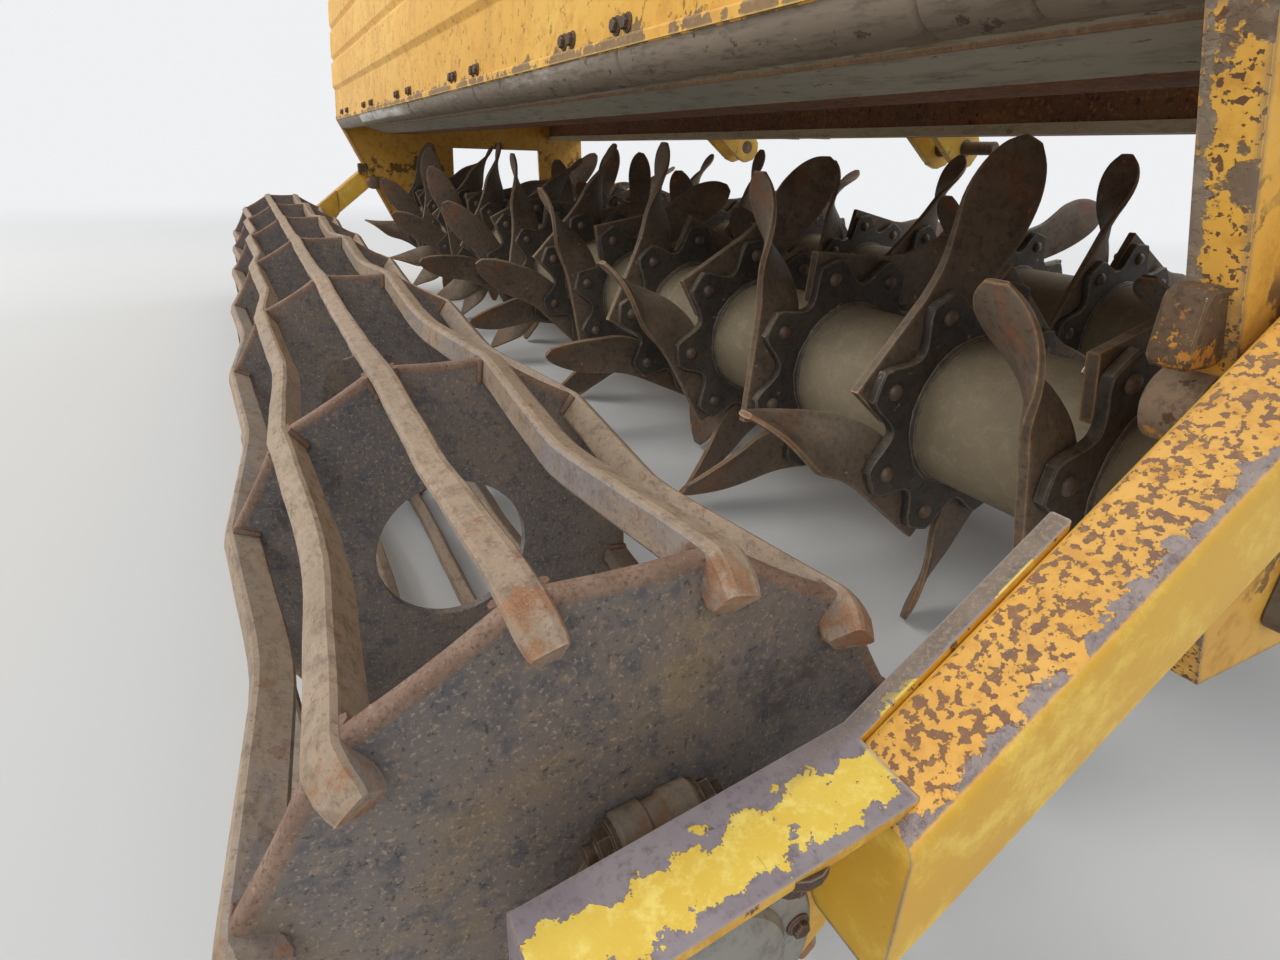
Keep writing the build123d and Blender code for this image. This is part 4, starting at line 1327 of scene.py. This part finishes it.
def setBeads(name, lines, radius, ripple, look, body, slot):
    mesh = bpy.data.meshes.new(name + "_lines")
    mesh.from_pydata([p for line in lines for p in line],
                     [(2 * i, 2 * i + 1) for i in range(len(lines))], [])
    edges = link(bpy.data.objects.new(name + "_lines", mesh))
    growPlain(edges, beads, {
        "Radius": radius, "Ripple": ripple, "Roughness": bead["roughness"], "Seed": bead["seed"],
        "Material": finish[look],
    }, name, body, 60.0)
    bpy.data.objects.remove(edges)


# unit bolts: the head's radius is 1, and the size of each place scales it
hexBolt = boltSource("hexBolt", (
    ((-0.3, 0.0), (-0.3, 1.35), (0.18, 1.35), (0.22, 1.3), (0.22, 0.0)),
    ((0.2, 0.0), (0.2, 1.0), (0.85, 1.0), (0.98, 0.86), (0.98, 0.0)),
), (16, 6))
hexNut = boltSource("hexNut", (
    ((-0.3, 0.0), (-0.3, 1.3), (0.15, 1.3), (0.18, 1.25), (0.18, 0.0)),
    ((0.15, 0.0), (0.15, 1.0), (0.9, 1.0), (1.0, 0.88), (1.0, 0.0)),
    ((0.9, 0.0), (0.9, 0.55), (1.6, 0.53), (1.65, 0.45), (1.65, 0.0)),
), (16, 6, 12))

hood = {
    "groups": (1.465, 0.916, 0.367, -0.182, -0.731, -1.280), "pairGap": 0.0725, "boltGap": 0.0125,
    "height": 0.667, "bolt": 0.007, "proud": 0.0003, "fold": 0.100, "clear": 0.015, "lean": 0.08,
}
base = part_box("rear_panel")[0].z
panelBack = min(v.co.y for v in frame["nodes"]["rear_panel"].data.vertices if v.co.z < base + 0.002)
foldBack = min(v.co.y for v in frame["nodes"]["rear_panel"].data.vertices
               if abs(v.co.z - base - hood["fold"]) < 0.003)
hoodPlaces = []
for middle in hood["groups"]:
    for pair in (-1, 1):
        for one in (-1, 1):
            x = middle + pair * hood["pairGap"] + one * hood["boltGap"]
            if abs(x) < plateX - hood["clear"]:
                y = panelBack + (foldBack - panelBack) * (hood["height"] - base) / hood["fold"]
                hoodPlaces.append(((x, y - hood["proud"], hood["height"]), (0, -1, hood["lean"]),
                                   hood["bolt"]))
setFasteners("hood_bolts", hexBolt, "rustyBolt", "frame", hoodPlaces)

bearing = {"boltReach": 0.044, "bolt": 0.0085, "capReach": 0.060, "capBolt": 0.005, "capFace": 0.0088,
           "capBolts": 6, "capFirst": 10.0}
bearingPlaces = []
for way in (1, -1):
    for axis in (rearAxis, frontAxis):
        for a, b in ((-1, -1), (-1, 1), (1, -1), (1, 1)):
            spot = (way * (outerX + housing["flange"]), axis.y + a * bearing["boltReach"],
                    axis.z + b * bearing["boltReach"])
            bearingPlaces.append((spot, (way, 0, 0), bearing["bolt"]))
setFasteners("bearing_bolts", hexBolt, "rustyBolt", "frame", bearingPlaces)
capPlaces = []
for way in (1, -1):
    for k in range(bearing["capBolts"]):
        turn = math.radians(360 / bearing["capBolts"] * k + bearing["capFirst"])
        spot = (way * (armNear + bearing["capFace"]),
                rollerAxis.y + bearing["capReach"] * math.cos(turn),
                rollerAxis.z + bearing["capReach"] * math.sin(turn))
        capPlaces.append((spot, (way, 0, 0), bearing["capBolt"]))
setFasteners("hub_cap_bolts", hexBolt, "rustyBolt", "roller_arms", capPlaces)

# the rail's hanging bolt and the clamp on the roller's bearing
clamp = {
    "across": 1.6, "ahead": 0.031, "below": 0.0935, "nut": 0.0105, "aheadGrown": 1.15, "behind": 0.040,
    "step": 0.013, "x": 1.524, "up": 0.043, "half": 0.024, "radius": 0.014, "shift": 0.010,
    "tilt": 0.12, "waist": 0.86, "saddle": 0.018, "saddleSize": (0.034, 0.030, 0.006),
    "saddleHalf": 0.010, "endNut": 0.0095,
}
armPlaces, clampPlaces = [], []
for side, way in sides:
    x, half, radius = way * clamp["across"], clamp["half"], clamp["radius"]
    below = rollerAxis.z + clamp["below"]
    armPlaces.append(((x, rollerAxis.y + clamp["ahead"], below), (0, 0, -1),
                      clamp["nut"] * clamp["aheadGrown"]))
    armPlaces.append(((x, rollerAxis.y - clamp["behind"], below - clamp["step"]), (0, 0, -1),
                      clamp["nut"]))
    middle = Vector((way * clamp["x"], rollerAxis.y + clamp["shift"], rollerAxis.z + clamp["up"]))
    bm = bmesh.new()
    halfBarrel = ((half, 0.0), (half, radius * 0.8), (half - 0.003, radius), (0.006, radius),
                  (0.004, radius * clamp["waist"]))
    barrel = [(-along, out) for along, out in halfBarrel] + list(halfBarrel[::-1])
    revolve(bm, barrel, middle, (0, 1, clamp["tilt"]), 24)
    saddle = [(middle.y + y, middle.z - clamp["saddle"] + z)
              for y, z in roundedRectangle(*clamp["saddleSize"])]
    plateAlongX(bm, saddle, middle.x - clamp["saddleHalf"], middle.x + clamp["saddleHalf"], 0.002)
    stand(meshObject(side + "_clamp_barrel", bm, "rustyCasting", 30.0), "roller_arms", "cast_housing")
    for end in (-1, 1):
        spot = middle + Vector((0, end * half, end * half * clamp["tilt"]))
        clampPlaces.append((tuple(spot), (0, end, end * clamp["tilt"]), clamp["endNut"]))
setFasteners("rail_nuts", hexNut, "rustyBolt", "roller_arms", armPlaces)
setFasteners("clamp_nuts", hexNut, "rustyBolt", "roller_arms", clampPlaces)
print("fasteners set")

# Lip, ledge strips and the stops on the end plates

lip = {"radius": 0.030, "grooves": (-0.131, 0.418, 0.976, 1.378, 1.453, -0.68, -1.23), "deep": 0.0038,
       "wide": 0.0045, "corners": 14, "steps": 110}


def lipShape():
    # half a tube along the panel's foot, grooved and dented
    low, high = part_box("rear_lip")
    middle = Vector((0, (low.y + high.y) / 2, high.z))
    stations = {-plateX, plateX}
    stations.update(-plateX + 2 * plateX * k / lip["steps"] for k in range(1, lip["steps"]))
    for groove in lip["grooves"]:
        stations.update(groove + lip["wide"] * k / 3 for k in range(-4, 5))
    rings = []
    for x in sorted(stations):
        pressed = sum(lip["deep"] * math.exp(-((x - groove) / lip["wide"] * 1.8) ** 2)
                      for groove in lip["grooves"])
        ring = []
        for k in range(lip["corners"] + 1):
            turn = math.pi * (1 + k / lip["corners"])
            wave = 0.0006 * math.sin(x * 17.3 + 2.0 * k / lip["corners"])
            dent = 0.0007 + wave * math.sin(x * 6.1 + 1.0)
            reach = lip["radius"] - max(dent, 0.0) - pressed
            ring.append(middle + Vector((x, reach * math.cos(turn), reach * math.sin(turn))))
        rings.append(ring)
    bm = bmesh.new()
    loftRings(bm, rings)
    return meshObject("lip_round", bm, "wornLipWithHighlight", 50.0)


stand(lipShape(), "frame", "worn_steel", "rear_lip")


def stripAlongX(name, half, points, look, slot):
    # a long strip whose section is a ring of (y, z) points
    rings = []
    for k in range(41):
        x = -half + 2 * half * k / 40
        wave = 0.0005 * math.sin(x * 9.0) + 0.0004 * math.sin(x * 23.0 + 1.0)
        rings.append([Vector((x, y + wave, z + wave * 0.5)) for y, z in points])
    bm = bmesh.new()
    loftRings(bm, rings)
    stand(meshObject(name, bm, look, 30.0), "frame", slot)


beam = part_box("front_beam")
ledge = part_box("under_strip")
strips = {
    "edgeBack": 0.004, "edgeIn": 0.010, "edgeDown": 0.004, "edgeUp": 0.014, "seamAt": 0.046,
    "seamHalf": 0.003, "seamDown": 0.003, "hem": 0.0025, "hemLow": 0.0015, "hemHigh": 0.010,
    "hemTop": 0.012, "ledge": 0.008,
}
slope = (ledge[1].z - strips["ledge"] - ledge[0].z) / (ledge[1].y - ledge[0].y)
stripHalf = plateX - 0.001
backY, frontY = beam[0].y - strips["edgeBack"], beam[0].y + strips["edgeIn"]
lowZ, highZ = beam[0].z - strips["edgeDown"], beam[0].z + strips["edgeUp"]
stripAlongX("beam_edge", stripHalf, [(backY, lowZ), (frontY, lowZ), (frontY, highZ), (backY, highZ)],
            "paleEdge", "rusted_paint")
seamY = ledge[0].y + strips["seamAt"]
seamZ = ledge[1].z - strips["ledge"] - slope * strips["seamAt"]
stripAlongX("ledge_seam", stripHalf, [
    (seamY - strips["seamHalf"], seamZ + 0.001),
    (seamY - strips["seamHalf"] * 0.6, seamZ - strips["seamDown"]),
    (seamY + strips["seamHalf"] * 0.6, seamZ - strips["seamDown"] - 0.0006),
    (seamY + strips["seamHalf"], seamZ),
], "rustedPaint", "rusted_paint")
low, high, top = base + strips["hemLow"], base + strips["hemHigh"], base + strips["hemTop"]
stripAlongX("panel_hem", stripHalf, [
    (panelBack - strips["hem"], low), (panelBack - strips["hem"], high),
    (panelBack - strips["hem"] * 0.5, top), (panelBack + 0.002, top), (panelBack + 0.002, low),
], "hoodYellow", "yellow_paint")

stops = {"blockLow": 0.455, "block": 0.034, "grow": 0.0012, "bossHeight": 0.423, "boss": 0.0241,
         "taller": 0.004, "inward": 0.012, "outward": 0.008, "corner": 0.007, "chamfer": 0.003,
         "bossIn": 0.0255, "bossLong": 0.034}
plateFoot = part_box("right_end_plate")[0].z


def rearEdgeY(z):
    # where an end plate's slanting rear edge lies
    points = [v.co for v in frame["nodes"]["right_end_plate"].data.vertices
              if abs(v.co.x - outerX) < 0.0005]
    top = min((v for v in points if abs(v.z - base) < 0.004), key=lambda v: v.y)
    foot = min((v for v in points if v.z < plateFoot + 0.002), key=lambda v: v.y)
    return top.y + (foot.y - top.y) * (top.z - z) / (top.z - foot.z)


for side, way in sides:
    blockTop = stops["blockLow"] + stops["block"]
    y = rearEdgeY(blockTop) - stops["block"] / 2
    grow = stops["grow"]
    bm = bmesh.new()
    tall = stops["block"] + 2 * grow + 2 * stops["taller"]
    outline = [(y + stops["block"] / 2 + a, (stops["blockLow"] + blockTop) / 2 + b)
               for a, b in roundedRectangle(stops["block"] + 2 * grow, tall, stops["corner"], 4)]
    plateAlongX(bm, outline, way * (plateX - stops["inward"] - grow),
                way * (plateX + stops["outward"] + grow), stops["chamfer"])
    stand(meshObject(side + "_stop_block", bm, "rustyBlock"), "frame", "yellow_paint")
    head = ((0.0, 0.0), (0.0005, 0.010), (0.0028, 0.0185), (0.0062, 0.0236), (0.0085, stops["boss"]),
            (stops["bossLong"], stops["boss"]), (stops["bossLong"], 0.0))
    dome = [(way * (plateX - stops["bossIn"] + x), radius) for x, radius in head]
    bossAxis = Vector((0, rearEdgeY(stops["bossHeight"]), stops["bossHeight"]))
    stand(turned(side + "_stop_boss", [dome], bossAxis, "rustyBoss", 28), "frame", "yellow_paint")
print("lip, strips and stops made")

# Welds

# out from the roller's axis, and off the middle of a bar
beadTop = (cage["radius"] - 0.006, cage["width"] / 2 + 0.001)
beadFoot = (cage["radius"] - cage["depth"], cage["innerWidth"] / 2 + 0.002)
frontWeld = {"near": 0.0005, "shortest": 0.05, "proud": 0.001}
weldLines = []
for place in platePlaces:
    for face in (-1, 1):
        x = place + face * (cage["plate"] / 2 + bead["off"])
        if abs(x) > cageEnd:
            continue
        for k in range(cage["bars"]):
            turn = math.pi / cage["bars"] * (2 * k + 1)
            out = Vector((0, math.cos(turn), math.sin(turn)))
            along = Vector((0, -math.sin(turn), math.cos(turn)))
            for flank in (-1, 1):
                top = rollerAxis + out * beadTop[0] + along * flank * beadTop[1]
                low = rollerAxis + out * beadFoot[0] + along * flank * beadFoot[1]
                weldLines.append(((x, top.y, top.z), (x, low.y, low.z)))
setBeads("cage_welds", weldLines, *bead["cage"], "weldBead", "cage_roller", "rusty_cage")
frameWelds = []
for node in ("mast_plates", "lower_link_plates"):
    mesh = frame["nodes"][node].data
    front = min(v.co.y for v in mesh.vertices)
    for edge in mesh.edges:
        a, b = (mesh.vertices[i].co for i in edge.vertices)
        near = max(a.y, b.y) < front + frontWeld["near"] and abs(a.x - b.x) < frontWeld["near"]
        if near and (a - b).length > frontWeld["shortest"]:
            frameWelds.append([tuple(end + Vector((0, frontWeld["proud"], 0))) for end in (a, b)])
setBeads("frame_welds", frameWelds, *bead["frame"], "chippedYellow", "frame", "yellow_paint")
print("welds laid,", len(weldLines), len(frameWelds))

# Chain case and linkage pins

case = {"rear": 0.078, "front": 0.128, "cover": 0.006, "cap": 0.030, "bolt": 0.0055, "boltInset": 0.018}


def caseOutline(shrink):
    rear, front = case["rear"] - shrink, case["front"] - shrink
    span = frontAxis.y - rearAxis.y
    tilt = math.asin((front - rear) / span)
    points = []
    for k in range(25):
        turn = math.pi / 2 + tilt + (math.pi - 2 * tilt) * k / 24
        points.append((rearAxis.y + rear * math.cos(turn), rearAxis.z + rear * math.sin(turn)))
    for k in range(33):
        turn = -math.pi / 2 - tilt + (math.pi + 2 * tilt) * k / 32
        points.append((frontAxis.y + front * math.cos(turn), frontAxis.z + front * math.sin(turn)))
    return points


caseInner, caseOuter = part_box("chain_case")[1].x, case["cover"] - halfWidth
rings = []
for x, shrink in (
    (caseInner, 0.006), (caseInner - 0.003, 0.004), (caseInner - 0.014, 0.004),
    (caseInner - 0.0145, 0.0), (caseInner - 0.0205, 0.0), (caseInner - 0.021, 0.004),
    (caseOuter + 0.004, 0.004), (caseOuter + 0.001, 0.006), (caseOuter, 0.009),
):
    rings.append([Vector((x, y, z)) for y, z in caseOutline(shrink)])
bm = bmesh.new()
loftRings(bm, rings)
cap = case["cap"]
for axis in (rearAxis, frontAxis):
    cover = ((0.0, 0.0), (0.0, cap + 0.004), (0.002, cap + 0.004), (0.003, cap), (0.0045, cap - 0.004),
             (0.0055, 0.0))
    revolve(bm, cover, (caseOuter - 0.0002, axis.y, axis.z), (-1, 0, 0), 32)
stand(meshObject("chain_case_round", bm, "chippedYellow", 30.0), "frame", "yellow_paint", "chain_case")
inset = caseOutline(case["boltInset"])
spots = [inset[k] for k in range(0, len(inset), 6)]
for share in (0.25, 0.5, 0.75):
    for a, b in ((inset[0], inset[-1]), (inset[24], inset[25])):
        spots.append((a[0] + (b[0] - a[0]) * share, a[1] + (b[1] - a[1]) * share))
casePlaces = [((caseOuter, y, z), (-1, 0, 0), case["bolt"]) for y, z in spots]
setFasteners("chain_case_bolts", hexBolt, "rustyBolt", "frame", casePlaces)

pin = {"radius": 0.014, "shank": 0.018, "length": 0.080, "chamfer": 0.003, "groove": 0.0025}
middle = middleOf("lower_link_pins")
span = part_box("lower_link_pins")[1].x
inner = min(abs(v.co.x) for v in frame["nodes"]["lower_link_pins"].data.vertices)
groove = pin["radius"] - pin["groove"]
outline = [(inner, 0.0), (inner, pin["shank"] - 0.002), (inner + 0.002, pin["shank"]),
           (span - pin["length"], pin["shank"]), (span - pin["length"], pin["radius"]),
           (span - 0.022, pin["radius"]), (span - 0.0215, groove), (span - 0.0155, groove),
           (span - 0.015, pin["radius"]), (span - pin["chamfer"], pin["radius"]),
           (span, pin["radius"] - pin["chamfer"]), (span, 0.0)]
stand(turned("link_pins_round", bothSides(outline), middle, "wornSteel", 40), "frame", "worn_steel",
      "lower_link_pins")
for source in (hexBolt, hexNut):
    bpy.data.objects.remove(source)
print("chain case and pins made")

# Floor


def makeFloor():
    reach = studio["floorReach"]
    bm = bmesh.new()
    corners = ((-reach, -reach), (reach, -reach), (reach, reach), (-reach, reach))
    bm.faces.new([bm.verts.new((x, y, studio["floorHeight"])) for x, y in corners])
    floor = meshObject("floor", bm)
    material = bpy.data.materials.new("paleFloor")
    material.use_nodes = True
    tree = material.node_tree
    shader = tree.nodes["Principled BSDF"]
    place = makeNode(tree, "ShaderNodeTexCoord").outputs["Object"]
    noise = noiseOf(tree, place, 1.4, detail=4.0)
    pale = studio["floorColor"]
    darker = tuple(v * 0.96 for v in pale[:3]) + (1,)
    wire(tree, shader, {"Base Color": mixColor(tree, noise, darker, pale), "Roughness": 0.85})
    # far off, what the camera sees of the floor runs into the backdrop
    away = makeNode(tree, "ShaderNodeVectorMath", {0: place}, operation="LENGTH").outputs["Value"]
    away = stepBetween(tree, away, studio["fadeFrom"], studio["fadeTo"])
    seen = mathNode(tree, "MULTIPLY", away,
                    makeNode(tree, "ShaderNodeLightPath").outputs["Is Camera Ray"])
    flat = makeNode(tree, "ShaderNodeEmission",
                    {"Color": studio["backdropColor"], "Strength": 1.0}).outputs[0]
    faded = makeNode(tree, "ShaderNodeMixShader", {0: seen, 1: shader.outputs[0], 2: flat}).outputs[0]
    wire(tree, tree.nodes["Material Output"], {"Surface": faded})
    floor.data.materials.append(material)


makeFloor()
bpy.data.objects.remove(empty)
